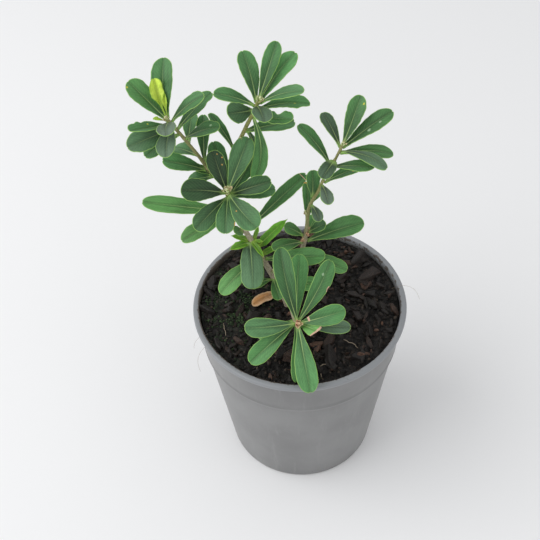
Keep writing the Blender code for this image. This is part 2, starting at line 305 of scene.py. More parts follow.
def cells(tree, place, scale, output="Color"):
    texture = tree.nodes.new("ShaderNodeTexVoronoi")
    put(tree, texture.inputs["Vector"], place)
    put(tree, texture.inputs["Scale"], scale)
    return texture.outputs[output]


def attribute(tree, name, output="Vector"):
    reader = tree.nodes.new("ShaderNodeAttribute")
    reader.attribute_name = name
    return reader.outputs[output]


def parts_of(tree, vector):
    split = tree.nodes.new("ShaderNodeSeparateXYZ")
    put(tree, split.inputs[0], vector)
    return split.outputs


def object_place(tree, stretch=None):
    place = tree.nodes.new("ShaderNodeTexCoord").outputs["Object"]
    if stretch is None:
        return place
    mapping = tree.nodes.new("ShaderNodeMapping")
    mapping.inputs["Scale"].default_value = stretch
    tree.links.new(place, mapping.inputs["Vector"])
    return mapping.outputs[0]


def bumped(tree, height, strength, distance):
    bump = tree.nodes.new("ShaderNodeBump")
    put(tree, bump.inputs["Height"], height)
    bump.inputs["Strength"].default_value = strength
    bump.inputs["Distance"].default_value = distance
    return bump.outputs[0]


def new_group(name, takes, gives):
    """An empty shader node group. takes lists (socket name, kind, default) and gives (socket name, kind)."""
    group = bpy.data.node_groups.new(name, "ShaderNodeTree")
    for label, kind, default in takes:
        group.interface.new_socket(label, in_out="INPUT", socket_type="NodeSocket" + kind).default_value = default
    for label, kind in gives:
        group.interface.new_socket(label, in_out="OUTPUT", socket_type="NodeSocket" + kind)
    return group, group.nodes.new("NodeGroupInput").outputs, group.nodes.new("NodeGroupOutput").inputs


def use_group(tree, name, **values):
    step = tree.nodes.new("ShaderNodeGroup")
    step.node_tree = bpy.data.node_groups[name]
    for label, value in values.items():
        put(tree, step.inputs[label.replace("_", " ")], value)
    return step.outputs


def new_material(name, roughness=0.5, specular=0.5):
    material = bpy.data.materials.new(name)
    material.use_nodes = True
    tree = material.node_tree
    tree.nodes.clear()
    shader = tree.nodes.new("ShaderNodeBsdfPrincipled")
    output = tree.nodes.new("ShaderNodeOutputMaterial")
    tree.links.new(shader.outputs[0], output.inputs[0])
    shader.inputs["Roughness"].default_value = roughness
    shader.inputs["Specular IOR Level"].default_value = specular
    return material, tree, shader.inputs


# Node groups shared by the materials

def make_blade_pattern():
    """Midrib, side veins, pale stalk, pale margin and mottling of a blade, from its own millimetres, with painted
    shade beside the midrib and a painted grey sheen.
    """
    tree, given, out = new_group(
        "blade_pattern",
        (
            ("Blade", "Color", (0.05, 0.12, 0.03, 1.0)),
            ("Rib", "Color", (0.3, 0.42, 0.22, 1.0)),
            ("Margin", "Color", (0.35, 0.5, 0.15, 1.0)),
            ("Rib strength", "Float", 0.8),
            ("Vein strength", "Float", 0.1),
            ("Margin width", "Float", 0.4),
            ("Warm", "Color", (1.75, 1.3, 0.6, 1.0)),
        ),
        (("Color", "Color"), ("Roughness", "Float"), ("Height", "Float")),
    )
    along, side, inward = parts_of(tree, attribute(tree, "blade_mm"))
    light, warm, length = parts_of(tree, attribute(tree, "tint"))
    place = object_place(tree)
    fine = cloud(tree, place, 900.0, 3.0, 0.6)
    mottle = cloud(tree, place, 260.0, 4.0, 0.6)
    patches = cloud(tree, place, 75.0, 2.0)
    across = calc(tree, "ABSOLUTE", side)
    share = calc(tree, "DIVIDE", along, length)

    slant = calc(tree, "MULTIPLY_ADD", across, -1.3, along)
    station = calc(tree, "MULTIPLY_ADD", mottle, 1.6, slant)
    vein = span(tree, calc(tree, "PINGPONG", station, 1.1), 0.0, 0.3, 1.0, 0.0)
    vein = times(tree, vein, span(tree, inward, 0.4, 1.8))

    rib_reach = span(tree, share, 0.0, 0.95, 0.42, 0.16, "LINEAR")
    wobbly = calc(tree, "MULTIPLY_ADD", fine, 0.16, calc(tree, "SUBTRACT", across, 0.08))
    rib = span(tree, wobbly, times(tree, rib_reach, 0.35), rib_reach, 1.0, 0.0)
    # Painted shade in the crease beside the midrib: the blade is darker on both sides of it.
    rib_shade = span(tree, across, rib_reach, times(tree, rib_reach, 9.0), 0.3, 0.0)
    rib_pale = span(tree, share, 0.05, 0.9, 1.0, 0.12, "LINEAR")

    tone = calc(tree, "MULTIPLY_ADD", mottle, 0.34, -0.17)
    tone = calc(tree, "ADD", tone, calc(tree, "MULTIPLY_ADD", patches, 0.5, -0.25))
    tone = calc(tree, "ADD", tone, calc(tree, "MULTIPLY_ADD", fine, 0.4, -0.2))
    lengthwise = tree.nodes.new("ShaderNodeCombineXYZ")
    put(tree, lengthwise.inputs[0], times(tree, along, 0.09))
    put(tree, lengthwise.inputs[1], side)
    put(tree, lengthwise.inputs[2], times(tree, length, 7.3))
    streak = cloud(tree, lengthwise.outputs[0], 0.9, 4.0, 0.65)
    tone = calc(tree, "ADD", tone, calc(tree, "MULTIPLY_ADD", streak, 1.1, -0.55))
    tone = calc(tree, "ADD", tone, span(tree, share, 0.15, 0.85, -0.27, 0.14, "LINEAR"))
    tone = times(tree, calc(tree, "ADD", tone, 1.0), light)
    tone = times(tree, tone, calc(tree, "SUBTRACT", 1.0, rib_shade))
    blade = blend(tree, 1.0, given["Blade"], tone, "MULTIPLY")
    yellow = blend(tree, 1.0, blade, given["Warm"], "MULTIPLY")
    blade = blend(tree, warm, blade, yellow)
    # Painted sheen: where the yellowness is below zero the blade is mixed toward grey, standing in for the reflection
    # of the light on leaves that face the camera.
    bloom = blend(tree, 1.0, (0.17, 0.215, 0.18), tone, "MULTIPLY")
    blade = blend(tree, times(tree, warm, -1.0), blade, bloom)
    rib_colour = blend(tree, 0.4, given["Rib"], blend(tree, 1.0, given["Rib"], light, "MULTIPLY"))
    veined = blend(tree, times(tree, vein, given["Vein strength"]), blade, rib_colour)
    ribbed = blend(tree, times(tree, times(tree, rib, rib_pale), given["Rib strength"]), veined, rib_colour)
    stalk = span(tree, along, 0.5, 5.0, 0.75, 0.0)
    stalked = blend(tree, stalk, ribbed, blend(tree, 0.5, given["Rib"], given["Margin"]))
    width = given["Margin width"]
    edge = span(tree, calc(tree, "MULTIPLY_ADD", fine, 0.2, calc(tree, "SUBTRACT", inward, 0.1)),
                times(tree, width, 0.3), width, 0.85, 0.0)
    edge = times(tree, edge, span(tree, along, 2.0, 8.0))
    put(tree, out["Color"], blend(tree, edge, stalked, given["Margin"]))
    put(tree, out["Roughness"], calc(tree, "MULTIPLY_ADD", mottle, 0.25, 0.3))
    height = calc(tree, "MULTIPLY_ADD", vein, -0.35, times(tree, mottle, 0.6))
    put(tree, out["Height"], calc(tree, "MULTIPLY_ADD", fine, 0.3, height))


def make_blade_marks():
    """Small healed spots and nibbled edges, where the piece's own attributes put them."""
    tree, given, out = new_group(
        "blade_marks",
        (("Color", "Color", (0.1, 0.2, 0.1, 1.0)),),
        (("Color", "Color"), ("Mask", "Float")),
    )
    ragged = calc(tree, "SUBTRACT", cloud(tree, object_place(tree), 1100.0, 2.0), 0.5)
    colour, whole = given["Color"], 0.0
    for number in (1, 2, 3):
        away = parts_of(tree, attribute(tree, f"mark_{number}"))
        square = calc(tree, "MULTIPLY_ADD", away[0], away[0], times(tree, away[1], away[1]))
        reach = calc(tree, "MULTIPLY_ADD", ragged, 0.9, calc(tree, "SQRT", square))
        mask = times(tree, span(tree, reach, 0.7, 1.05, 1.0, 0.0), away[2])
        colour = blend(tree, mask, colour, attribute(tree, f"mark_colour_{number}", "Color"))
        whole = calc(tree, "MAXIMUM", whole, mask)
    put(tree, out["Color"], colour)
    put(tree, out["Mask"], whole)


def make_dirt():
    """Dried crumbs and dust: more of it where the mask is high. At the pot's base it also stands in for painted
    shade.
    """
    tree, given, out = new_group(
        "dirt",
        (("Color", "Color", (0.3, 0.3, 0.3, 1.0)), ("Amount", "Float", 0.5), ("Scale", "Float", 400.0)),
        (("Color", "Color"), ("Mask", "Float")),
    )
    place = object_place(tree)
    grains = cloud(tree, place, given["Scale"], 5.0, 0.7)
    low = span(tree, given["Amount"], 0.0, 1.0, 0.85, 0.3, "LINEAR")
    mask = span(tree, grains, low, calc(tree, "ADD", low, 0.08))
    brown = blend(tree, cloud(tree, place, 150.0), (0.035, 0.024, 0.016), (0.14, 0.1, 0.07))
    put(tree, out["Color"], blend(tree, times(tree, mask, 0.85), given["Color"], brown))
    put(tree, out["Mask"], mask)


# Materials

RIB_GREEN = (0.40, 0.56, 0.20)
MARGIN_GREEN = (0.34, 0.58, 0.14)


def grown_leaf_materials(settings):
    """Upper face, underside and margin of a full-grown leaf."""
    upper, tree, shader = new_material("leaf_upper", 0.42, 0.32)
    look = use_group(tree, "blade_pattern", Blade=tuple(settings.upper), Rib=RIB_GREEN, Margin=MARGIN_GREEN)
    marked = use_group(tree, "blade_marks", Color=look["Color"])
    put(tree, shader["Base Color"], marked["Color"])
    put(tree, shader["Roughness"], look["Roughness"])
    put(tree, shader["Normal"], bumped(tree, look["Height"], 0.5, 0.00025))
    under, tree, shader = new_material("leaf_underside", 0.62, 0.35)
    look = use_group(tree, "blade_pattern", Blade=tuple(settings.under), Rib=RIB_GREEN, Margin=MARGIN_GREEN,
                     Rib_strength=0.8, Vein_strength=0.2)
    put(tree, shader["Base Color"], look["Color"])
    put(tree, shader["Normal"], bumped(tree, look["Height"], 0.6, 0.0003))
    margin, tree, shader = new_material("leaf_margin", 0.5, 0.35)
    marked = use_group(tree, "blade_marks", Color=blend(
        tree, cloud(tree, object_place(tree), 400.0), (0.2, 0.4, 0.08), (0.36, 0.58, 0.15)))
    put(tree, shader["Base Color"], marked["Color"])
    return upper, under, margin


def young_leaf_materials(settings):
    upper, tree, shader = new_material("young_leaf_upper", 0.48, 0.4)
    look = use_group(tree, "blade_pattern", Blade=tuple(settings.young), Rib=(0.42, 0.62, 0.12),
                     Margin=(0.36, 0.6, 0.06), Warm=(3.3, 1.45, 2.6))
    put(tree, shader["Base Color"], look["Color"])
    put(tree, shader["Normal"], bumped(tree, look["Height"], 0.5, 0.0003))
    under, tree, shader = new_material("young_leaf_underside", 0.55, 0.35)
    look = use_group(tree, "blade_pattern", Blade=(0.3, 0.52, 0.07), Rib=(0.5, 0.66, 0.2),
                     Margin=(0.36, 0.6, 0.06), Vein_strength=0.2, Warm=(1.9, 1.25, 1.6))
    put(tree, shader["Base Color"], look["Color"])
    return upper, under, upper


def dead_leaf_materials():
    upper, tree, shader = new_material("dry_leaf", 0.8, 0.25)
    look = use_group(tree, "blade_pattern", Blade=(0.5, 0.25, 0.095), Rib=(0.66, 0.45, 0.26),
                     Margin=(0.62, 0.42, 0.24), Rib_strength=0.5, Vein_strength=0.3, Margin_width=1.4)
    stain = cloud(tree, object_place(tree), 210.0, 4.0, 0.6)
    put(tree, shader["Base Color"], blend(tree, span(tree, stain, 0.45, 0.7, 0.0, 0.5), look["Color"], (0.7, 0.5, 0.33)))
    put(tree, shader["Normal"], bumped(tree, look["Height"], 0.9, 0.0005))
    return upper, upper, upper


def plastic_material(settings):
    """Grey moulded plastic with dust, fine upright scratches and dried mix near the rim and the base. Painted light:
    soft upright streaks of highlight, a lighter and bluer lip top, and part of the darkening at the base.
    """
    material, tree, shader = new_material("pot_plastic", 0.4, 0.5)
    place = object_place(tree)
    height = parts_of(tree, place)[2]
    broad = cloud(tree, place, 22.0, 4.0)
    streak = cloud(tree, object_place(tree, (160.0, 160.0, 8.0)), 1.0, 5.0, 0.65)
    scratch = cloud(tree, object_place(tree, (900.0, 900.0, 24.0)), 1.0, 3.0, 0.7)
    grey = tuple(settings.grey)
    dust_and_sheen_grey = tuple(value * 1.3 + 0.015 for value in grey)
    worn = tuple(value * 0.8 for value in grey)
    rim = tuple(value * scale + 0.02 for value, scale in zip(grey, (1.18, 1.23, 1.3)))
    tone = blend(tree, span(tree, broad, 0.35, 0.7), worn, dust_and_sheen_grey)
    tone = blend(tree, 0.5, tone, grey)
    # Painted highlight: soft upright streaks of lighter grey, standing in for the satin sheen on the wall.
    tone = blend(tree, span(tree, streak, 0.52, 0.72, 0.0, 0.45), tone, dust_and_sheen_grey)
    tone = blend(tree, span(tree, scratch, 0.68, 0.74, 0.0, 0.35), tone, dust_and_sheen_grey)
    # Painted light: the top of the lip takes the lighter, bluer rim grey, standing in for the light that falls on it
    # from above.
    tone = blend(tree, span(tree, height, POT_HEIGHT - 4 * MM, POT_HEIGHT - 3 * MM), tone, rim)
    near_rim = span(tree, height, POT_HEIGHT - 9 * MM, POT_HEIGHT, 0.0, 0.34)
    x, y, _ = parts_of(tree, place)
    reach = calc(tree, "SQRT", calc(tree, "MULTIPLY_ADD", x, x, times(tree, y, y)))
    worst = span(tree, calc(tree, "MULTIPLY_ADD", y, 0.6, x), -60 * MM, 30 * MM, 0.85, 0.35)
    inner = times(tree, span(tree, reach, 65.9 * MM, 67.6 * MM, 1.0, 0.0), span(tree, height, 0.118, 0.128))
    # Darker towards the base: dirt speckles, partly painted shade along the bottom edge.
    near_base = span(tree, height, 0.0, 40 * MM, 0.42, 0.05)
    amount = calc(tree, "ADD", calc(tree, "ADD", near_rim, near_base), times(tree, inner, worst))
    dirty = use_group(tree, "dirt", Color=tone, Amount=amount, Scale=320.0)
    put(tree, shader["Base Color"], dirty["Color"])
    rough = calc(tree, "MULTIPLY_ADD", broad, 0.22, 0.26)
    put(tree, shader["Roughness"], calc(tree, "MULTIPLY_ADD", dirty["Mask"], 0.4, rough))
    relief = calc(tree, "MULTIPLY_ADD", scratch, -0.5, times(tree, cloud(tree, place, 1500.0, 1.0), 0.4))
    put(tree, shader["Normal"], bumped(tree, relief, 0.15, 0.0003))
    return material


def mix_material():
    """Dark damp crumb with brown fibres and a green bloom on its left."""
    material, tree, shader = new_material("damp_crumb", 0.85, 0.3)
    place = object_place(tree)
    lumps = cloud(tree, place, 320.0, 7.0, 0.7)
    grains = cells(tree, place, 700.0)
    tone = blend(tree, span(tree, lumps, 0.38, 0.68), (0.004, 0.0038, 0.0035), (0.022, 0.019, 0.017))
    tone = blend(tree, span(tree, parts_of(tree, grains)[0], 0.85, 0.97, 0.0, 0.4), tone, (0.07, 0.05, 0.036))
    x = parts_of(tree, place)[0]
    side = span(tree, x, -64 * MM, -30 * MM, 1.0, 0.0)
    bloom = times(tree, side, span(tree, cloud(tree, place, 90.0, 5.0, 0.65), 0.45, 0.6, 0.0, 0.75))
    tone = blend(tree, bloom, tone, (0.028, 0.042, 0.024))
    put(tree, shader["Base Color"], tone)
    put(tree, shader["Roughness"], span(tree, lumps, 0.3, 0.7, 0.95, 0.6))
    put(tree, shader["Normal"], bumped(tree, lumps, 1.0, 0.0015))
    return material


def bit_material(name, dark, light, grain_light, rough):
    """Loose bits, each with its own tone between dark and light."""
    material, tree, shader = new_material(name, rough, 0.3)
    grain = cloud(tree, object_place(tree), 900.0, 4.0, 0.65)
    tone = blend(tree, attribute(tree, "tone", "Fac"), dark, light)
    tone = blend(tree, span(tree, grain, 0.45, 0.75, 0.0, 0.7), tone, blend(tree, 1.0, tone, grain_light, "MULTIPLY"))
    put(tree, shader["Base Color"], tone)
    put(tree, shader["Normal"], bumped(tree, grain, 0.7, 0.0006))
    return material


def bark_material(name, dark, light, scar):
    """Lengthwise furrows, pale pores and a paler ring at each leaf joint, turning olive where the wood is young."""
    material, tree, shader = new_material(name, 0.6, 0.35)
    along, around, scars = parts_of(tree, attribute(tree, "stem_mm"))
    rolled = tree.nodes.new("ShaderNodeCombineXYZ")
    put(tree, rolled.inputs[0], times(tree, along, 0.22))
    put(tree, rolled.inputs[1], calc(tree, "SINE", around))
    put(tree, rolled.inputs[2], calc(tree, "COSINE", around))
    grain = cloud(tree, rolled.outputs[0], 3.0, 6.0, 0.7)
    pores = cloud(tree, object_place(tree), 1300.0, 2.0)
    tone = blend(tree, span(tree, grain, 0.32, 0.7), dark, light)
    tone = blend(tree, span(tree, pores, 0.6, 0.7, 0.0, 0.4), tone, blend(tree, 0.5, light, (0.5, 0.42, 0.3)))
    olive = blend(tree, span(tree, grain, 0.3, 0.7), (0.13, 0.15, 0.035), (0.36, 0.36, 0.12))
    tone = blend(tree, attribute(tree, "youth", "Fac"), tone, olive)
    tone = blend(tree, times(tree, scars, span(tree, pores, 0.3, 0.6, 0.5, 1.0)), tone, scar)
    put(tree, shader["Base Color"], tone)
    put(tree, shader["Normal"], bumped(tree, grain, 0.6, 0.0004))
    return material


def bud_material():
    """Cream and pale green scales with a pinkish flush, rosier where the piece's tone is high."""
    material, tree, shader = new_material("bud_scale", 0.55, 0.4)
    place = object_place(tree)
    tone = blend(tree, span(tree, cloud(tree, place, 600.0), 0.35, 0.65), (0.42, 0.56, 0.18), (0.8, 0.8, 0.52))
    rosy = blend(tree, cloud(tree, place, 900.0), (0.5, 0.22, 0.12), (0.85, 0.56, 0.4))
    tone = blend(tree, attribute(tree, "tone", "Fac"), tone, rosy)
    put(tree, shader["Base Color"], tone)
    return material


def root_material():
    material, tree, shader = new_material("pale_root", 0.7, 0.3)
    grain = cloud(tree, object_place(tree), 700.0)
    put(tree, shader["Base Color"], blend(tree, grain, (0.16, 0.11, 0.07), (0.5, 0.42, 0.32)))
    return material

# Mesh helpers

def deselect_all():
    if bpy.context.mode != "OBJECT":
        bpy.ops.object.mode_set(mode="OBJECT")
    bpy.ops.object.select_all(action="DESELECT")


def work_on(obj):
    deselect_all()
    obj.select_set(True)
    bpy.context.view_layer.objects.active = obj


def apply_modifier(obj, kind, **values):
    work_on(obj)
    bpy.ops.object.modifier_add(type=kind)
    modifier = obj.modifiers[-1]
    for label, value in values.items():
        setattr(modifier, label, value)
    bpy.ops.object.modifier_apply(modifier=modifier.name)


def added(name):
    """The object that the last primitive operator made, renamed."""
    obj = bpy.context.view_layer.objects.active
    obj.name = name
    obj.data.name = name
    return obj


def linked(name, data):
    obj = bpy.data.objects.new(name, data)
    bpy.context.scene.collection.objects.link(obj)
    return obj


def joined(name, pieces):
    deselect_all()
    for piece in pieces:
        piece.select_set(True)
    bpy.context.view_layer.objects.active = pieces[0]
    if len(pieces) > 1:
        bpy.ops.object.join()
    return added(name)


def coordinates(mesh):
    flat = np.empty(len(mesh.vertices) * 3)
    mesh.vertices.foreach_get("co", flat)
    return flat.reshape(-1, 3)


def set_coordinates(mesh, points):
    mesh.vertices.foreach_set("co", np.asarray(points, float).ravel())
    mesh.update()


def write_attribute(mesh, name, kind, values):
    layer = mesh.attributes.get(name) or mesh.attributes.new(name, kind, "POINT")
    field = {"FLOAT": "value", "FLOAT_VECTOR": "vector", "FLOAT_COLOR": "color"}[kind]
    layer.data.foreach_set(field, np.asarray(values, float).ravel())


def dress(obj, *materials):
    obj.data.materials.clear()
    for material in materials:
        obj.data.materials.append(material)


def place_piece(obj, material_slot, *nodes):
    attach(obj, BODY)
    if nodes:
        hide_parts(*nodes)


# Leaves

BLADE_ROWS = 34
BLADE_COLUMNS = (0.0, 0.05, 0.14, 0.30, 0.50, 0.70, 0.87, 1.0)
SCALE_ROWS = 8
SCALE_COLUMNS = (0.0, 0.35, 0.7, 1.0)
STALK_SHARE = 0.13
WIDEST = 0.72
TIP_POWER = 2.4
TIP_END_WIDTH = 0.5
THIN_SHARE = 0.45
LEAF_FOOT = 0.9 * MM
BITTEN = {"front_leaf_4": (0.86, -0.16)}
OUTLINES = {"low_leaf_4": "full", "right_leaf_7": "full"}

LeafPlace = namedtuple("LeafPlace", "base along across up length half arch fold")


def blade_half_width(along):
    """Share of the half width at a share of the length: stalk, widening blade, round tip."""
    if along <= WIDEST:
        return STALK_SHARE + (1 - STALK_SHARE) * math.sin(math.pi / 2 * max(along, 0.0) / WIDEST) ** 1.4
    past = min((along - WIDEST) / (1 - WIDEST), 1.0)
    return (1 - past**TIP_POWER) ** 0.5


def tip_reach(across):
    """Share of the length at which the round tip's outline passes a share of the half width."""
    return WIDEST + (1 - WIDEST) * (1 - across * across) ** (1 / TIP_POWER)


def make_master_blade(name, rows, column_shares):
    """A flat blade one unit long and one to each side, with rows that bow out to the round tip."""
    columns = len(column_shares) - 1
    deselect_all()
    bpy.ops.mesh.primitive_grid_add(x_subdivisions=rows, y_subdivisions=2 * columns, size=2.0)
    blade = added(name)
    bpy.ops.object.mode_set(mode="EDIT")
    bm = bmesh.from_edit_mesh(blade.data)
    last = tip_reach(TIP_END_WIDTH)
    for vert in bm.verts:
        row = (vert.co.x + 1) / 2
        column = round(vert.co.y * columns)
        across = math.copysign(column_shares[abs(column)], column)
        station = last * (1 - (1 - row) ** 1.15)
        bow = max(0.0, (row - 0.6) / 0.4) ** 2
        along = station + bow * (tip_reach(across * TIP_END_WIDTH) - last)
        vert.co = (along, across * blade_half_width(station), 0.0)
    bmesh.update_edit_mesh(blade.data)
    bpy.ops.object.mode_set(mode="OBJECT")
    return blade


def blade_frame(node):
    """Reads a leaf's place off its CAD blade."""
    points = np.unique(np.round(coordinates(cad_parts[node].data), 6), axis=0)
    centre = points.mean(axis=0)
    ways = np.linalg.svd(points - centre, full_matrices=False)[2]
    reach = (points - centre) @ ways[0]
    wide = (points - centre) @ ways[1]
    end_zone = 0.16 * np.ptp(reach)
    near = reach < reach.min() + end_zone
    far = reach > reach.max() - end_zone
    if np.ptp(wide[near]) > np.ptp(wide[far]):
        reach = -reach
    ends = 0.04 * np.ptp(reach)
    base = points[reach < reach.min() + ends].mean(axis=0)
    tip = points[reach > reach.max() - ends].mean(axis=0)
    along = (tip - base) / np.linalg.norm(tip - base)
    up = ways[2] - ways[2] @ along * along
    up /= np.linalg.norm(up)
    across = np.cross(up, along)
    shift = points - base
    length = (shift @ along).max()
    share = shift @ along / length
    side = np.abs(shift @ across)
    terms = np.stack([np.ones(len(points)), 4 * share * (1 - share) * length, side], axis=1)
    fit = np.linalg.lstsq(terms, shift @ up, rcond=None)[0]
    if fit[2] < 0:
        up, across, fit = -up, -across, -fit
    return LeafPlace(base, along, across, up, length, side.max(), fit[1], fit[2])


def built_place(stem, below_tip, heading, rise, length, width, looks, fold):
    """The same for a leaf that has no node: it starts on a stem's skin."""
    point, way, radius = stem_station(stem, below_tip * MM)
    heading, rise = math.radians(heading), math.radians(rise)
    along = np.array((math.cos(heading) * math.cos(rise), math.sin(heading) * math.cos(rise), math.sin(rise)))
    outward = along - along @ way * way
    base = point + outward / np.linalg.norm(outward) * radius
    up = np.array(looks) - np.array(looks) @ along * along
    up /= np.linalg.norm(up)
    return LeafPlace(base, along, np.cross(up, along), up, length * MM, width * MM / 2, 0.04,
                     math.tan(math.radians(fold)))


def copied(master, name):
    obj = master.copy()
    obj.data = master.data.copy()
    obj.name = obj.data.name = name
    bpy.context.scene.collection.objects.link(obj)
    return obj


def open_edges(mesh):
    """Pairs of vertices along the mesh's open edge."""
    count = {}
    for polygon in mesh.polygons:
        for key in polygon.edge_keys:
            count[key] = count.get(key, 0) + 1
    return np.array([key for key, uses in count.items() if uses == 1])


def distance_to_lines(points, pairs):
    """Distance of each flat point to the nearest of the given stretches."""
    start, end = pairs[:, 0], pairs[:, 1]
    step = end - start
    length = np.maximum((step**2).sum(axis=1), 1e-12)
    shift = points[:, None, :] - start[None]
    share = np.clip((shift * step[None]).sum(axis=2) / length[None], 0, 1)
    gap = shift - share[..., None] * step[None]
    return np.sqrt((gap**2).sum(axis=2)).min(axis=1)


def outline_change(outline, x):
    """Factor on the half width that turns the spoon outline into another one."""
    own = np.array([max(blade_half_width(share), 0.05) for share in x])
    if outline == "lance":
        wanted = np.clip(1.25 * np.sin(math.pi * np.clip(x, 0, 1) ** 0.8) ** 0.9, 0.1, 1)
        wanted *= np.clip((1.02 - x) * 6, 0.1, 1)
    elif outline == "full":
        wanted = np.where(x < WIDEST, 0.2 + 0.8 * np.clip(x / 0.42, 0, 1) ** 0.55, own)
    elif outline == "blunt":
        wanted = np.where(x < WIDEST, 0.08 + 0.92 * np.clip((x - 0.12) / 0.3, 0, 1) ** 0.7, own)
    else:
        wanted = own * (0.2 + 0.8 * np.clip((x - 0.3) / 0.3, 0, 1) ** 1.2)
    return wanted / own


def lay_blade(master, name, place, seed, thickness, light=1.0, warm=0.1, outline=None):
    """Copies the master blade onto a leaf's place with its own fold, arch, twist, waves, nibbles and marks."""
    draw = random.Random(seed)
    usual = (None, 0.0, draw.uniform(-8, 8), draw.uniform(0.6, 1.3))
    fold, curl, twist, waviness, *bow = LEAF_SHAPES.get(name, usual)
    fold = place.fold if fold is None else math.tan(math.radians(fold))
    blade = copied(master, name + "_blade")
    cut, slant = BITTEN.get(name, (1.0, 0.0))
    if cut < 1.0:
        work_on(blade)
        bpy.ops.object.mode_set(mode="EDIT")
        bpy.ops.mesh.select_all(action="SELECT")
        bpy.ops.mesh.bisect(plane_co=(cut, 0, 0), plane_no=(1, slant, 0), clear_outer=True, clear_inner=False)
        bpy.ops.object.mode_set(mode="OBJECT")
    flat = coordinates(blade.data)
    x, y = flat[:, 0] / cut, flat[:, 1]
    positive = y > 0

    def ripple(rates):
        """An uneven curve along the blade, different on its two sides."""
        waves = 0.0
        for rate in rates:
            start = np.where(positive, draw.uniform(0, 6.3), draw.uniform(0, 6.3))
            waves = waves + np.sin(2 * math.pi * rate * x + start) / len(rates)
        return waves

    notch = draw.uniform(0.003, 0.016)
    x = x - notch * np.exp(-((y / 0.075) ** 2)) * np.clip((x - 0.9) / 0.1, 0, 1) ** 2
    skew = draw.uniform(-0.05, 0.05)
    sides = np.where(positive, 1 + skew, 1 - skew) * (1 + 0.045 * waviness**0.5 * ripple((1.7, 3.6, 7.3)))
    for leaf, side, at, depth, width in NIBBLES:
        if leaf == name:
            sides = sides * np.where(positive == (side > 0), 1 - depth * np.exp(-(((x - at) / width) ** 2)), 1.0)
    if outline:
        sides = sides * outline_change(outline, x)
    length = place.length + LEAF_FOOT
    wide = y * place.half * sides
    rows = np.abs(wide)
    lift = place.arch * length * 4 * x * (1 - x) + fold * rows * np.clip(x * 4, 0.2, 1)
    lift -= 0.22 * MM * np.exp(-((wide / (0.55 * MM)) ** 2)) * (1 - 0.4 * x)
    lift += 0.4 * MM * waviness * ripple((1.3, 2.4)) * (rows / place.half) ** 2
    lift += 0.12 * MM * waviness * ripple((4.8, 7.9)) * (rows / place.half) ** 3
    lift -= (draw.uniform(0.01, 0.04) + curl) * length * np.clip((x - 0.5) / 0.5, 0, 1) ** 2
    bent = wide + (draw.uniform(-0.03, 0.03) + sum(bow)) * length * x * (1 - x) * 4
    turn = math.radians(twist) * x
    turned_side = bent * np.cos(turn) - lift * np.sin(turn)
    turned_lift = bent * np.sin(turn) + lift * np.cos(turn)
    points = place.base - place.along * LEAF_FOOT + np.outer(x * length, place.along)
    points = points + np.outer(turned_side, place.across) + np.outer(turned_lift, place.up)
    set_coordinates(blade.data, points)

    flat_mm = np.stack([x * length, wide], axis=1) / MM
    inward = distance_to_lines(flat_mm, flat_mm[open_edges(blade.data)])
    write_attribute(blade.data, "blade_mm", "FLOAT_VECTOR", np.column_stack([flat_mm, inward]))
    tint = (light * draw.uniform(0.85, 1.15), warm * draw.uniform(0.5, 1.5), length / MM)
    write_attribute(blade.data, "tint", "FLOAT_VECTOR", np.tile(tint, (len(x), 1)))
    number = 0
    for leaf, at, side, long, broad, colour in MARKS:
        if leaf != name:
            continue
        number += 1
        reach = min(abs(side), 0.97 * blade_half_width(at))
        along_gap = flat_mm[:, 0] + slant * flat_mm[:, 1] * length / place.half - at * length / MM
        side_gap = flat_mm[:, 1] - math.copysign(reach, side) * place.half / MM
        values = np.column_stack([along_gap / long, side_gap / broad, np.ones(len(x))])
        write_attribute(blade.data, f"mark_{number}", "FLOAT_VECTOR", values)
        write_attribute(blade.data, f"mark_colour_{number}", "FLOAT_COLOR", np.tile((*colour, 1.0), (len(x), 1)))

    weights = blade.vertex_groups.new(name="thickness")
    for index, share in enumerate(x):
        heavy = 1.0 if share < 0.05 else THIN_SHARE + (1 - THIN_SHARE) * max(0.0, 1 - share / 0.35) ** 1.5
        if inward[index] < 0.3 and share > 0.15:
            heavy *= 0.6
        weights.add([index], heavy, "REPLACE")
    apply_modifier(
        blade,
        "SOLIDIFY",
        thickness=thickness / THIN_SHARE,
        offset=-1.0,
        vertex_group="thickness",
        material_offset=1,
        material_offset_rim=2,
    )
    blade.vertex_groups.clear()
    work_on(blade)
    bpy.ops.object.shade_smooth()
    return blade


# Stems

CENTRELINES = {}
STEM_SHARES = {"main_stem": 0.92, "right_stem": 0.8, "front_stem": 0.92, "middle_twig": 0.92, "near_shoot": 0.92}
# A twig's foot reaches this far back, into the stem that it grows from
FOOT_REACH = 1.6 * MM
# Millimetres of grey bark above each stem's foot, before it turns olive
GREY_BARK = {"main_stem": 70, "right_stem": 45, "front_stem": 32, "middle_twig": 0, "near_shoot": 0}


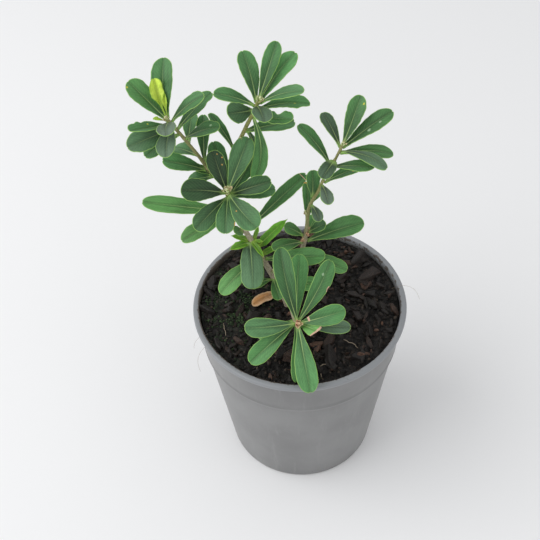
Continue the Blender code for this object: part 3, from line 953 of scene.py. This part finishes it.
def centreline(stem):
    """Centres, travelled lengths and radii of a CAD stem from foot to tip, read off level sections of its mesh."""
    if stem in CENTRELINES:
        return CENTRELINES[stem]
    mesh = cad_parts[stem].data
    points = coordinates(mesh)
    ends = np.array([edge.vertices[:] for edge in mesh.edges])
    first, second = points[ends[:, 0]], points[ends[:, 1]]
    low, high = points[:, 2].min(), points[:, 2].max()
    count = max(8, round((high - low) / (3.5 * MM)))
    centres, radii = [], []
    for level in np.linspace(low + 0.4 * MM, high - 0.9 * MM, count):
        crossing = (first[:, 2] - level) * (second[:, 2] - level) < 0
        start, stop = first[crossing], second[crossing]
        share = (level - start[:, 2]) / (stop[:, 2] - start[:, 2])
        section = start + (stop - start) * share[:, None]
        centres.append(section.mean(axis=0))
        spread = np.linalg.eigvalsh(np.cov(section[:, :2].T))
        radii.append(math.sqrt(2 * max(spread[0], 1e-8)))
    centres = np.array(centres)
    travelled = np.concatenate([[0.0], np.cumsum(np.linalg.norm(np.diff(centres, axis=0), axis=1))])
    CENTRELINES[stem] = (centres, travelled, np.array(radii))
    return CENTRELINES[stem]


def stem_station(stem, below_tip):
    """Point, direction and radius at a distance below a stem's tip."""
    centres, travelled, radii = centreline(stem)
    at = min(max(travelled[-1] - below_tip, 0.0), travelled[-1] - 1e-6)
    index = int(np.searchsorted(travelled, at, side="right")) - 1
    step = travelled[index + 1] - travelled[index]
    share = (at - travelled[index]) / step
    way = (centres[index + 1] - centres[index]) / step
    point = centres[index] + (centres[index + 1] - centres[index]) * share
    return point, way, radii[index] + (radii[index + 1] - radii[index]) * share


def stem_measure(stem, points):
    """Length travelled, way outward and turn about the centreline of points near a stem."""
    centres, travelled, _ = centreline(stem)
    nearest = np.linalg.norm(points[:, None, :] - centres[None], axis=2).argmin(axis=1)
    before, after = np.maximum(nearest - 1, 0), np.minimum(nearest + 1, len(centres) - 1)
    ways = centres[after] - centres[before]
    ways /= np.linalg.norm(ways, axis=1)[:, None]
    arms = points - centres[nearest]
    rise = (arms * ways).sum(axis=1)
    across = arms - rise[:, None] * ways
    size = np.linalg.norm(across, axis=1)
    outward = np.where(size[:, None] > 1e-7, across / np.maximum(size, 1e-7)[:, None], ways)
    side_way = np.cross(ways, (0.2, 0.95, 0.1))
    side_way /= np.linalg.norm(side_way, axis=1)[:, None]
    around = np.arctan2((outward * side_way).sum(axis=1), (outward * np.cross(ways, side_way)).sum(axis=1))
    return travelled[nearest] + rise, outward, around


def tube(name, points, radii, roundness, order=4):
    """A closed smooth tube along points, converted to a mesh."""
    curve = bpy.data.curves.new(name, "CURVE")
    curve.dimensions = "3D"
    curve.bevel_depth = 1.0
    curve.bevel_resolution = roundness
    curve.use_fill_caps = True
    curve.resolution_u = 4
    spline = curve.splines.new("NURBS")
    spline.points.add(len(points) - 1)
    for point, centre, radius in zip(spline.points, points, radii):
        point.co = (*centre, 1.0)
        point.radius = radius
    spline.order_u = order
    spline.use_endpoint_u = True
    obj = linked(name, curve)
    work_on(obj)
    bpy.ops.object.convert(target="MESH")
    obj = added(name)
    bpy.ops.object.mode_set(mode="EDIT")
    bpy.ops.mesh.select_all(action="SELECT")
    bpy.ops.mesh.remove_doubles(threshold=0.01 * MM)
    bpy.ops.mesh.normals_make_consistent(inside=False)
    bpy.ops.object.mode_set(mode="OBJECT")
    bpy.ops.object.shade_smooth()
    return obj


def make_stem(stem, material, leaf_feet, woody, draw):
    """A tapering stem along its CAD centreline, ringed and thicker where a leaf joins or has dropped."""
    centres, travelled, radii = centreline(stem)
    line, thick = centres, radii * STEM_SHARES[stem]
    if not woody:
        line = np.concatenate([[centres[0] * 2 - stem_station(stem, travelled[-1] - FOOT_REACH)[0]], centres])
        thick = np.concatenate([thick[:1], thick])
    obj = tube(stem + "_bark", line, thick, 4)
    points = coordinates(obj.data)
    along, outward, around = stem_measure(stem, points)
    foot_along, _, _ = stem_measure(stem, leaf_feet)
    gaps = np.array([np.linalg.norm(centres - foot, axis=1).min() for foot in leaf_feet])
    rings = list(foot_along[gaps < 6 * MM])
    at = 22 * MM
    while at < travelled[-1] - 6 * MM:
        rings.append(at)
        at += draw.uniform(4.5, 9.0) * MM
    ring_mask = np.zeros(len(points))
    for ring in rings:
        lean = draw.uniform(-0.5, 0.5) * MM
        gap = along - ring + lean * np.cos(around)
        ring_mask = np.maximum(ring_mask, np.exp(-((gap / (0.6 * MM)) ** 2)) * draw.uniform(0.4, 1.0))
    scar = np.zeros(len(points))
    for foot in leaf_feet[gaps < 6 * MM]:
        scar = np.maximum(scar, np.exp(-((np.linalg.norm(points - foot, axis=1) / (1.5 * MM)) ** 2)))
    rough = np.array([noise.noise(Vector(point) * 420.0) for point in points])
    swell = 0.3 * MM * scar + 0.16 * MM * ring_mask + 0.1 * MM * rough
    set_coordinates(obj.data, points + outward * swell[:, None])
    mask = np.clip(0.9 * scar + 0.55 * ring_mask - 0.15, 0, 1)
    write_attribute(obj.data, "stem_mm", "FLOAT_VECTOR", np.column_stack([along / MM, around, mask]))
    write_attribute(obj.data, "youth", "FLOAT", np.clip((along / MM - woody) / 25, 0, 1) * 0.85)
    dress(obj, material)
    return obj


def make_bud(name, master, place, size, count, rosy, seed):
    """Overlapping cupped scales round a pointed core."""
    point, way = place
    draw = random.Random(seed)
    deselect_all()
    bpy.ops.mesh.primitive_uv_sphere_add(segments=10, ring_count=7, radius=1.0)
    core = added(name)
    side_way = np.cross(way, (0.3, 0.9, 0.2))
    side_way /= np.linalg.norm(side_way)
    axes = np.stack([side_way, np.cross(way, side_way), way])
    shape = coordinates(core.data) * np.array((0.34, 0.34, 0.62)) * size
    set_coordinates(core.data, point + shape @ axes + way * size * 0.25)
    write_attribute(core.data, "tone", "FLOAT", np.full(len(shape), rosy))
    pieces = [core]
    for number in range(count):
        turn = math.radians(137.5 * number + draw.uniform(-12, 12))
        tilt = math.radians(6 + (26 + 4 * count) * number / count + draw.uniform(-4, 4))
        radial = side_way * math.cos(turn) + axes[1] * math.sin(turn)
        along = way * math.cos(tilt) + radial * math.sin(tilt)
        up = way * math.sin(tilt) - radial * math.cos(tilt)
        length = size * draw.uniform(0.85, 1.25)
        base = point + radial * size * 0.2 - way * size * 0.3
        leaf_place = LeafPlace(base, along, np.cross(up, along), up, length, size * draw.uniform(0.22, 0.34), -0.12, 0.5)
        scale = lay_blade(master, f"{name}_scale_{number}", leaf_place, seed + number, 0.3 * MM)
        tone = np.full(len(scale.data.vertices), min(1.0, max(0.0, rosy + draw.uniform(-0.35, 0.35))))
        write_attribute(scale.data, "tone", "FLOAT", tone)
        pieces.append(scale)
    bud = joined(name, pieces)
    work_on(bud)
    bpy.ops.object.shade_smooth()
    return bud


# Potting mix

def mix_height(x, y):
    reach = math.hypot(x, y)
    inner = min(1.0, max(0.0, (MIX_R - reach) / (2 * MM)))
    lumps = noise.fractal(Vector((x, y, 0.0)) * 180.0, 0.75, 2.2, 5)
    clods = noise.noise(Vector((x, y, 3.0)) * 62.0)
    top = POT_HEIGHT - 3.1 * MM - 1.3 * MM * (reach / MIX_R) ** 4
    return top + (1.7 * MM * lumps + 2.0 * MM * clods) * inner


def chip_master(name, corners, draw):
    """A flat splinter with rough corners, about one unit long."""
    deselect_all()
    bpy.ops.mesh.primitive_cylinder_add(vertices=corners, radius=0.5, depth=0.32)
    chip = added(name)
    points = coordinates(chip.data)
    points[:, 1] *= draw.uniform(0.25, 0.6)
    points[:, 2] *= draw.uniform(0.6, 1.1)
    points += np.array([[draw.uniform(-0.13, 0.13), draw.uniform(-0.1, 0.1), draw.uniform(-0.08, 0.08)] for _ in points])
    set_coordinates(chip.data, points)
    apply_modifier(chip, "BEVEL", width=0.05, segments=1)
    return chip


def crumb_master(name, draw):
    deselect_all()
    bpy.ops.mesh.primitive_ico_sphere_add(subdivisions=1, radius=0.5)
    crumb = added(name)
    points = coordinates(crumb.data)
    set_coordinates(crumb.data, points * np.array([[draw.uniform(0.7, 1.25)] for _ in points]))
    return crumb


def scattered(name, masters, rows, material):
    """One object holding a copy of a master for each row of (master number, place, turn, size, tone)."""
    shapes = []
    for master in masters:
        faces = [tuple(polygon.vertices) for polygon in master.data.polygons]
        shapes.append((coordinates(master.data), faces))
    points, faces, tones, start = [], [], [], 0
    for number, place, turn, size, tone in rows:
        shape, own_faces = shapes[number]
        points.append(shape * size @ np.array(turn.to_matrix()).T + np.array(place))
        faces += [tuple(start + index for index in face) for face in own_faces]
        tones.append(np.full(len(shape), tone))
        start += len(shape)
    mesh = bpy.data.meshes.new(name)
    mesh.from_pydata(np.concatenate(points).tolist(), [], faces)
    write_attribute(mesh, "tone", "FLOAT", np.concatenate(tones))
    obj = linked(name, mesh)
    dress(obj, material)
    return obj


# Settings

class DaphnePotSettings(bpy.types.PropertyGroup):
    grey: FloatVectorProperty(name="Grey", description="Colour of the pot's plastic", subtype="COLOR",
                              default=(0.2, 0.2, 0.2), min=0.0, max=1.0)
    wall: FloatProperty(name="Wall", description="Thickness of the pot's wall", default=1.5 * MM, unit="LENGTH")


class DaphneLeafSettings(bpy.types.PropertyGroup):
    upper: FloatVectorProperty(name="Upper face", description="Green of a full-grown leaf's upper face",
                               subtype="COLOR", default=(0.066, 0.19, 0.06), min=0.0, max=1.0)
    under: FloatVectorProperty(name="Underside", description="Green of a leaf's underside", subtype="COLOR",
                               default=(0.14, 0.25, 0.10), min=0.0, max=1.0)
    young: FloatVectorProperty(name="Young leaf", description="Green of a leaf that has just opened",
                               subtype="COLOR", default=(0.15, 0.44, 0.03), min=0.0, max=1.0)
    thickness: FloatProperty(name="Thickness", description="Thickness of a blade", default=0.45 * MM,
                             unit="LENGTH")


class DaphneMixSettings(bpy.types.PropertyGroup):
    chips: IntProperty(name="Chips", description="Number of bark chips on the mix", default=620)
    crumbs: IntProperty(name="Crumbs", description="Number of crumbs on the mix", default=1700)
    rim_crumbs: IntProperty(name="Rim crumbs", description="Number of crumbs on the pot's rim", default=70)
    moss: IntProperty(name="Moss", description="Number of moss tufts on the mix", default=1000)
    seed: IntProperty(name="Seed", description="Start of the random draws for the mix", default=7)


class DaphneStageSettings(bpy.types.PropertyGroup):
    floor: FloatVectorProperty(name="Floor", description="Colour of the floor", subtype="COLOR",
                               default=(0.88, 0.88, 0.885), min=0.0, max=1.0)
    key_power: FloatProperty(name="Key light", description="Power of the light at the left in watts", default=18.0)
    sky: FloatProperty(name="Sky", description="Strength of the even light all round", default=0.7)


# Operators

class DAPHNE_OT_pot(bpy.types.Operator):
    """Turns the nursery pot from its half section and drills its drain holes"""
    bl_idname = "daphne.pot"
    bl_label = "Pot"

    def execute(self, context):
        settings = context.scene.daphne_pot
        wall = settings.wall
        height = POT_HEIGHT
        section = (
            (0.0, 0.0006), (0.0125, 0.0006), (0.0131, 0.0), (0.0505, 0.0), (0.0518, 0.0004), (0.0524, 0.0014),
            (0.0527, 0.0040), (0.0645, height - 0.0335),
            (0.0648, height - 0.0306), (0.0650, height - 0.0303), (0.0655, height - 0.0300),
            (0.0659, height - 0.0296), (0.0660, height - 0.0288), (0.0657, height - 0.0280),
            (0.0660, height - 0.0255), (0.0676, height - 0.0062),
            (0.0678, height - 0.0038), (0.0690, height - 0.0036),
            (0.0697, height - 0.0031), (0.07, height - 0.0022), (0.07, height - 0.0012),
            (0.0697, height - 0.0004), (0.0691, height), (0.0672, height), (0.0664, height - 0.0004),
            (0.066, height - 0.0012), (0.066, height - 0.004), (0.0655 - wall, height - 0.0299),
            (0.0648 - wall, height - 0.0310), (0.0524 - wall, 0.003), (0.0518 - wall, 0.0021),
            (0.0505 - wall, 0.0018), (0.0, 0.0018),
        )
        mesh = bpy.data.meshes.new("pot_body")
        mesh.from_pydata([(r, 0.0, z) for r, z in section], [(i, i + 1) for i in range(len(section) - 1)], [])
        pot = linked("pot_body", mesh)
        work_on(pot)
        bpy.ops.object.mode_set(mode="EDIT")
        bpy.ops.mesh.select_all(action="SELECT")
        bpy.ops.mesh.spin(steps=128, angle=2 * math.pi, center=(0, 0, 0), axis=(0, 0, 1))
        bpy.ops.mesh.select_all(action="SELECT")
        bpy.ops.mesh.remove_doubles(threshold=0.02 * MM)
        bpy.ops.mesh.normals_make_consistent(inside=False)
        bpy.ops.object.mode_set(mode="OBJECT")
        for number in range(8):
            turn = 2 * math.pi * (number + 0.5) / 8
            deselect_all()
            bpy.ops.mesh.primitive_cylinder_add(
                vertices=24, radius=0.004, depth=0.01, location=(0.04 * math.cos(turn), 0.04 * math.sin(turn), 0.0)
            )
            drill = added("drill")
            apply_modifier(pot, "BOOLEAN", operation="DIFFERENCE", object=drill)
            bpy.data.objects.remove(drill)
        work_on(pot)
        bpy.ops.object.shade_smooth_by_angle(angle=math.radians(35))
        dress(pot, plastic_material(settings))
        place_piece(pot, "pot", "pot")
        return {"FINISHED"}


class DAPHNE_OT_mix(bpy.types.Operator):
    """Fills the pot with potting mix and scatters bark chips, crumbs, moss and roots on it"""
    bl_idname = "daphne.mix"
    bl_label = "Potting mix"

    def execute(self, context):
        settings = context.scene.daphne_mix
        radius = MIX_R - 0.3 * MM
        deselect_all()
        bpy.ops.mesh.primitive_grid_add(x_subdivisions=190, y_subdivisions=190, size=2 * radius)
        mix = added("mix_surface")
        points = coordinates(mix.data)
        square = np.maximum(np.abs(points[:, 0]), np.abs(points[:, 1]))
        points[:, :2] *= (square / np.maximum(np.hypot(points[:, 0], points[:, 1]), 1e-9))[:, None]
        points[:, 2] = [mix_height(x, y) for x, y, _ in points]
        set_coordinates(mix.data, points)
        work_on(mix)
        bpy.ops.object.mode_set(mode="EDIT")
        bpy.ops.mesh.select_all(action="DESELECT")
        bpy.ops.mesh.select_mode(type="EDGE")
        bpy.ops.mesh.select_non_manifold(extend=False, use_wire=False, use_multi_face=False,
                                         use_non_contiguous=False, use_verts=False)
        for level, size in ((-0.0265, 0.975), (-0.1025, 0.80)):
            bpy.ops.mesh.extrude_edges_move(TRANSFORM_OT_translate={"value": (0, 0, level)})
            bpy.ops.transform.resize(value=(size, size, 1.0), center_override=(0, 0, 0))
        bpy.ops.mesh.edge_face_add()
        bpy.ops.mesh.select_all(action="SELECT")
        bpy.ops.mesh.normals_make_consistent(inside=False)
        bpy.ops.object.mode_set(mode="OBJECT")
        bpy.ops.object.shade_smooth()
        dress(mix, mix_material())
        place_piece(mix, "potting_mix", "potting_mix")

        draw = random.Random(settings.seed)
        chips = [chip_master(f"chip_master_{corners}", corners, draw) for corners in (4, 5, 5, 6, 6, 7)]
        crumbs = [crumb_master(f"crumb_master_{number}", draw) for number in range(4)]

        def spot(reach, rim_bias=0.0):
            """A random place on the mix, more often near the rim as the bias grows."""
            out = reach * max(draw.random() ** 0.5, draw.random() ** 0.5 if draw.random() < rim_bias else 0.0)
            turn = draw.uniform(0, 2 * math.pi)
            return out * math.cos(turn), out * math.sin(turn)

        def turned(tilt):
            way = Matrix.Rotation(draw.uniform(0, 2 * math.pi), 3, "Z")
            lean = Matrix.Rotation(math.radians(draw.gauss(0, tilt)), 3, "X")
            return (lean @ Matrix.Rotation(math.radians(draw.gauss(0, tilt)), 3, "Y") @ way).to_quaternion()

        covered = coordinates(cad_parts["dead_leaf"].data)[:, :2]
        rows = []
        for _ in range(settings.chips):
            x, y = spot(radius - 3 * MM)
            size = min(18.0, draw.lognormvariate(1.75, 0.5)) * MM
            tone = draw.random() ** 5 * min(1.0, max(0.3, (x + 45 * MM) / (30 * MM)))
            sunk = 1.5 * MM if np.hypot(*(covered - (x, y)).T).min() < 5 * MM else 0.0
            z = mix_height(x, y) + 0.06 * size - sunk
            rows.append((draw.randrange(6), (x, y, z), turned(8 if sunk else 24), size, tone))
        piece = scattered("bark_chips", chips, rows, bit_material(
            "bark_chip", (0.011, 0.0095, 0.0085), (0.085, 0.047, 0.032), (3.4, 2.9, 2.6), 0.5))
        place_piece(piece, "potting_mix")

        rows = []
        for _ in range(settings.crumbs):
            x, y = spot(radius - 1 * MM, 0.5)
            size = min(2.6, draw.lognormvariate(0.05, 0.45)) * MM
            rows.append((draw.randrange(4), (x, y, mix_height(x, y) + 0.2 * size), turned(60), size,
                         draw.random() ** 4))
        for _ in range(settings.rim_crumbs):
            turn = draw.gauss(math.radians(225), math.radians(60))
            reach = draw.uniform(65.6, 66.8) * MM
            size = draw.uniform(0.3, 0.9) * MM
            place = (reach * math.cos(turn), reach * math.sin(turn), POT_HEIGHT - 0.15 * MM * draw.random())
            rows.append((draw.randrange(4), place, turned(60), size, draw.random() ** 3))
        piece = scattered("mix_crumbs", crumbs, rows, bit_material(
            "crumb", (0.006, 0.0055, 0.005), (0.06, 0.046, 0.036), (2.5, 2.3, 2.1), 0.8))
        place_piece(piece, "potting_mix")

        rows = []
        while len(rows) < settings.moss:
            x, y = draw.gauss(-43 * MM, 13 * MM), draw.gauss(0 * MM, 16 * MM)
            if math.hypot(x, y) > radius - 2 * MM or noise.noise(Vector((x, y, 9.0)) * 130.0) < -0.1:
                continue
            size = draw.uniform(0.5, 1.7) * MM
            rows.append((draw.randrange(4), (x, y, mix_height(x, y) + 0.25 * size), turned(60), size,
                         draw.random() ** 2))
        piece = scattered("moss_tufts", crumbs, rows, bit_material(
            "moss", (0.014, 0.024, 0.012), (0.06, 0.1, 0.04), (1.8, 1.9, 1.6), 0.9))
        place_piece(piece, "potting_mix")

        roots = []
        for number, (x, y, heading, length, thick) in enumerate(ROOTS):
            way = math.radians(heading)
            line = []
            for step in range(9):
                share = step / 8
                px = x + length * MM * share * math.cos(way) + draw.uniform(-0.6, 0.6) * MM
                py = y + length * MM * share * math.sin(way) + draw.uniform(-0.6, 0.6) * MM
                hump = 1.4 * MM * math.sin(math.pi * share) + 0.1 * MM
                line.append((px, py, max(mix_height(px, py), mix_height(px, py + MM)) + hump - 0.5 * MM))
            roots.append(tube(f"root_{number}", line, [thick * MM] * 9, 1))
        for number, line in enumerate(RIM_FIBRES):
            line = [tuple(value * MM for value in point) for point in line]
            roots.append(tube(f"fibre_{number}", line, [0.07 * MM] * len(line), 1))
        roots = joined("pale_roots", roots)
        dress(roots, root_material())
        place_piece(roots, "potting_mix")
        for master in chips + crumbs:
            bpy.data.objects.remove(master)
        return {"FINISHED"}


# Loose roots on the mix: start x and y in metres, heading in degrees, length and radius in millimetres
ROOTS = (
    (0.0105, -0.0600, 110, 9, 0.28),
    (0.0060, -0.0545, 20, 12, 0.22),
    (-0.0300, -0.0500, 60, 11, 0.2),
    (-0.0480, -0.0260, 100, 14, 0.2),
    (0.0350, -0.0380, 150, 10, 0.22),
    (-0.0100, -0.0400, 200, 9, 0.18),
    (0.0480, 0.0100, 80, 12, 0.2),
    (-0.0200, 0.0480, 10, 13, 0.2),
    (0.0200, 0.0420, 330, 10, 0.18),
)

# Hair-like root fibres that hang out over the rim, in millimetres
RIM_FIBRES = (
    ((62, 8, 134.5), (67, 8, 138), (73, 7, 138.5), (78, 3, 137), (79, -2, 134)),
    ((-57, -30, 134.5), (-61, -33, 137.8), (-66, -37, 134), (-68, -38, 126), (-66, -40, 119)),
    ((-60, -22, 134.5), (-65, -25, 138), (-70, -27, 133), (-70, -25, 124)),
)

# Shoot tips and side buds: name, stem, distance below its tip, size, scales, rosiness, lean toward a heading
BUDS = (
    ("left_bud", "main_stem", 0.0, 2.2, 5, 0.2, None),
    ("middle_bud", "middle_twig", 0.0, 2.8, 8, 0.0, None),
    ("near_bud", "near_shoot", 0.0, 3.0, 9, 0.15, None),
    ("right_bud", "right_stem", 0.0, 1.8, 5, 0.1, None),
    ("front_bud", "front_stem", 0.0, 2.8, 7, 0.75, None),
    ("node_bud_1", "main_stem", 122.0, 1.9, 4, 0.1, 20),
    ("node_bud_2", "main_stem", 131.0, 1.7, 4, 0.15, 330),
    ("node_bud_3", "main_stem", 113.0, 1.7, 4, 0.1, 60),
    ("node_bud_4", "right_stem", 62.0, 1.5, 4, 0.2, 200),
    ("node_bud_5", "middle_twig", 30.0, 1.5, 4, 0.2, 250),
    ("node_bud_6", "right_stem", 77.0, 2.2, 4, 0.9, 300),
    ("node_bud_7", "right_stem", 82.0, 2.0, 4, 0.85, 230),
    ("node_bud_8", "right_stem", 74.0, 1.6, 4, 0.7, 20),
)


class DAPHNE_OT_stems(bpy.types.Operator):
    """Grows the woody stems and green twigs along their centrelines"""
    bl_idname = "daphne.stems"
    bl_label = "Stems"

    def execute(self, context):
        bark = bark_material("grey_bark", (0.25, 0.21, 0.145), (0.62, 0.55, 0.41), (0.52, 0.47, 0.25))
        green = bark_material("green_bark", (0.13, 0.14, 0.04), (0.32, 0.31, 0.11), (0.5, 0.5, 0.22))
        feet = np.array([blade_frame(name).base for name in leaf_nodes()])
        draw = random.Random(31)
        for stem in STEMS:
            woody = stem in WOODY_STEMS
            obj = make_stem(stem, bark if woody else green, feet, GREY_BARK[stem], draw)
            place_piece(obj, "bark" if woody else "green_twig", stem)
        return {"FINISHED"}


class DAPHNE_OT_buds(bpy.types.Operator):
    """Sets a bud of small scales on every shoot tip and on some leaf joints"""
    bl_idname = "daphne.buds"
    bl_label = "Buds"

    def execute(self, context):
        master = make_master_blade("master_scale", SCALE_ROWS, SCALE_COLUMNS)
        material = bud_material()
        dress(master, material, material, material)
        for number, (name, stem, below, size, count, rosy, heading) in enumerate(BUDS):
            point, way, radius = stem_station(stem, below * MM)
            if heading is not None:
                turn = math.radians(heading)
                out = np.array((math.cos(turn), math.sin(turn), 0.0))
                out = out - out @ way * way
                out /= np.linalg.norm(out)
                point, way = point + out * radius, 0.75 * way + 0.65 * out
                way = way / np.linalg.norm(way)
            bud = make_bud(name, master, (point, way), size * MM, count, rosy, 300 + 20 * number)
            dress(bud, material)
            place_piece(bud, "young_leaf")
        bpy.data.objects.remove(master)
        return {"FINISHED"}


def leaf_nodes():
    return [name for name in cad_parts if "_leaf_" in name and name.split("_")[0] in SHOOTS]


class DAPHNE_OT_leaves(bpy.types.Operator):
    """Models one blade and lays a copy of it on every leaf's place"""
    bl_idname = "daphne.leaves"
    bl_label = "Leaves"

    def execute(self, context):
        settings = context.scene.daphne_leaf
        thickness = settings.thickness
        master = make_master_blade("master_blade", BLADE_ROWS, BLADE_COLUMNS)
        grown = grown_leaf_materials(settings)
        young = young_leaf_materials(settings)
        dry = dead_leaf_materials()
        dress(master, *grown)
        for seed, node in enumerate(leaf_nodes()):
            light, warm = LEAF_TINTS.get(node, SHOOT_TINTS[node.split("_")[0]])
            leaf = lay_blade(master, node, blade_frame(node), seed, thickness, light, warm, OUTLINES.get(node))
            place_piece(leaf, "leaf", node)
        for number, (shoot, stem, *row) in enumerate(EXTRA_LEAVES):
            place = built_place(stem, *row, SHOOT_LOOKS[shoot], 8.0)
            name = f"extra_{shoot}_leaf_{number + 1}"
            light, warm = LEAF_TINTS.get(name, SHOOT_TINTS[shoot])
            leaf = lay_blade(master, name, place, 100 + number, thickness, light, warm)
            place_piece(leaf, "leaf")
        dress(master, *young)
        leaf = lay_blade(master, "young_leaf", blade_frame("young_leaf"), 200, thickness, 1.1, 0.0, "lance")
        place_piece(leaf, "young_leaf", "young_leaf")
        for number, (shoot, stem, *row) in enumerate(YOUNG_LEAVES):
            place = built_place(stem, *row, SHOOT_LOOKS[shoot], 22.0)
            name = f"tip_leaf_{number + 1}"
            light, warm = LEAF_TINTS.get(name, (1.1, 0.1))
            outline = "waisted" if shoot == "left" else "lance"
            leaf = lay_blade(master, name, place, 210 + number, thickness, light, warm, outline)
            place_piece(leaf, "young_leaf")
        dress(master, *dry)
        leaf = lay_blade(master, "fallen_leaf", blade_frame("dead_leaf"), 220, thickness, 1.0, 0.0, "blunt")
        place_piece(leaf, "dead_leaf", "dead_leaf")
        bpy.data.objects.remove(master)
        return {"FINISHED"}


CAMERA_PLACE = (-0.0182, -0.3558, 0.5569)
CAMERA_RIGHT = (0.9986, -0.0391, -0.0358)
CAMERA_UP = (0.0530, 0.7367, 0.6741)
LENS = 55.8


class DAPHNE_OT_stage(bpy.types.Operator):
    """Sets the plain pale floor, the soft lights and the camera"""
    bl_idname = "daphne.stage"
    bl_label = "Stage"

    def execute(self, context):
        settings = context.scene.daphne_stage
        deselect_all()
        bpy.ops.mesh.primitive_circle_add(vertices=96, radius=4.0, fill_type="NGON", location=(0, 0, -0.2 * MM))
        floor = added("studio_floor")
        work_on(floor)
        bpy.ops.object.transform_apply(location=True)
        material, tree, shader = new_material("floor_paint", 0.9, 0.1)
        put(tree, shader["Base Color"], tuple(settings.floor))
        dress(floor, material)
        world = bpy.data.worlds.new("studio")
        context.scene.world = world
        world.use_nodes = True
        tree = world.node_tree
        tree.nodes.clear()
        sky = tree.nodes.new("ShaderNodeBackground")
        tree.links.new(sky.outputs[0], tree.nodes.new("ShaderNodeOutputWorld").inputs[0])
        sky.inputs["Color"].default_value = (0.98, 0.99, 1.0, 1.0)
        sky.inputs["Strength"].default_value = settings.sky
        for name, place, size, power in (
            ("key_light", (-1.3, -0.2, 1.3), 1.8, settings.key_power),
            ("fill_light", (1.2, -0.9, 1.2), 1.4, 0.12 * settings.key_power),
        ):
            lamp = bpy.data.lights.new(name, "AREA")
            lamp.size = size
            lamp.energy = power
            obj = linked(name, lamp)
            obj.location = place
            obj.rotation_euler = (Vector((0, 0, 0.15)) - Vector(place)).to_track_quat("-Z", "Y").to_euler()
        camera = bpy.data.cameras.new("photo_camera")
        camera.sensor_width = 36.0
        camera.lens = LENS
        camera.clip_start = 0.01
        obj = linked("photo_camera", camera)
        right, up = Vector(CAMERA_RIGHT).normalized(), Vector(CAMERA_UP).normalized()
        back = right.cross(up).normalized()
        up = back.cross(right)
        obj.matrix_world = Matrix.Translation(CAMERA_PLACE) @ Matrix((right, up, back)).transposed().to_4x4()
        context.scene.camera = obj
        context.scene.view_settings.view_transform = "Standard"
        return {"FINISHED"}


class DAPHNE_PT_sidebar(bpy.types.Panel):
    """Lists the pieces and their settings"""
    bl_idname = "DAPHNE_PT_sidebar"
    bl_label = "Potted daphne"
    bl_space_type = "VIEW_3D"
    bl_region_type = "UI"
    bl_category = "Daphne"

    def draw(self, context):
        scene = context.scene
        for settings, operator in (
            (scene.daphne_pot, "daphne.pot"),
            (scene.daphne_mix, "daphne.mix"),
            (None, "daphne.stems"),
            (scene.daphne_leaf, "daphne.leaves"),
            (None, "daphne.buds"),
            (scene.daphne_stage, "daphne.stage"),
        ):
            box = self.layout.box()
            if settings:
                for label in settings.bl_rna.properties.keys():
                    if label not in ("rna_type", "name"):
                        box.prop(settings, label)
            box.operator(operator)


CLASSES = (
    DaphnePotSettings,
    DaphneLeafSettings,
    DaphneMixSettings,
    DaphneStageSettings,
    DAPHNE_OT_pot,
    DAPHNE_OT_mix,
    DAPHNE_OT_stems,
    DAPHNE_OT_leaves,
    DAPHNE_OT_buds,
    DAPHNE_OT_stage,
    DAPHNE_PT_sidebar,
)


def register():
    for item in CLASSES:
        bpy.utils.register_class(item)
    bpy.types.Scene.daphne_pot = PointerProperty(type=DaphnePotSettings)
    bpy.types.Scene.daphne_leaf = PointerProperty(type=DaphneLeafSettings)
    bpy.types.Scene.daphne_mix = PointerProperty(type=DaphneMixSettings)
    bpy.types.Scene.daphne_stage = PointerProperty(type=DaphneStageSettings)


def unregister():
    for label in ("daphne_pot", "daphne_leaf", "daphne_mix", "daphne_stage"):
        delattr(bpy.types.Scene, label)
    for item in reversed(CLASSES):
        bpy.utils.unregister_class(item)


def main():
    register()
    make_blade_pattern()
    make_blade_marks()
    make_dirt()
    bpy.ops.daphne.pot()
    bpy.ops.daphne.mix()
    bpy.ops.daphne.stems()
    bpy.ops.daphne.leaves()
    bpy.ops.daphne.buds()
    bpy.ops.daphne.stage()


if __name__ == "__main__":
    main()
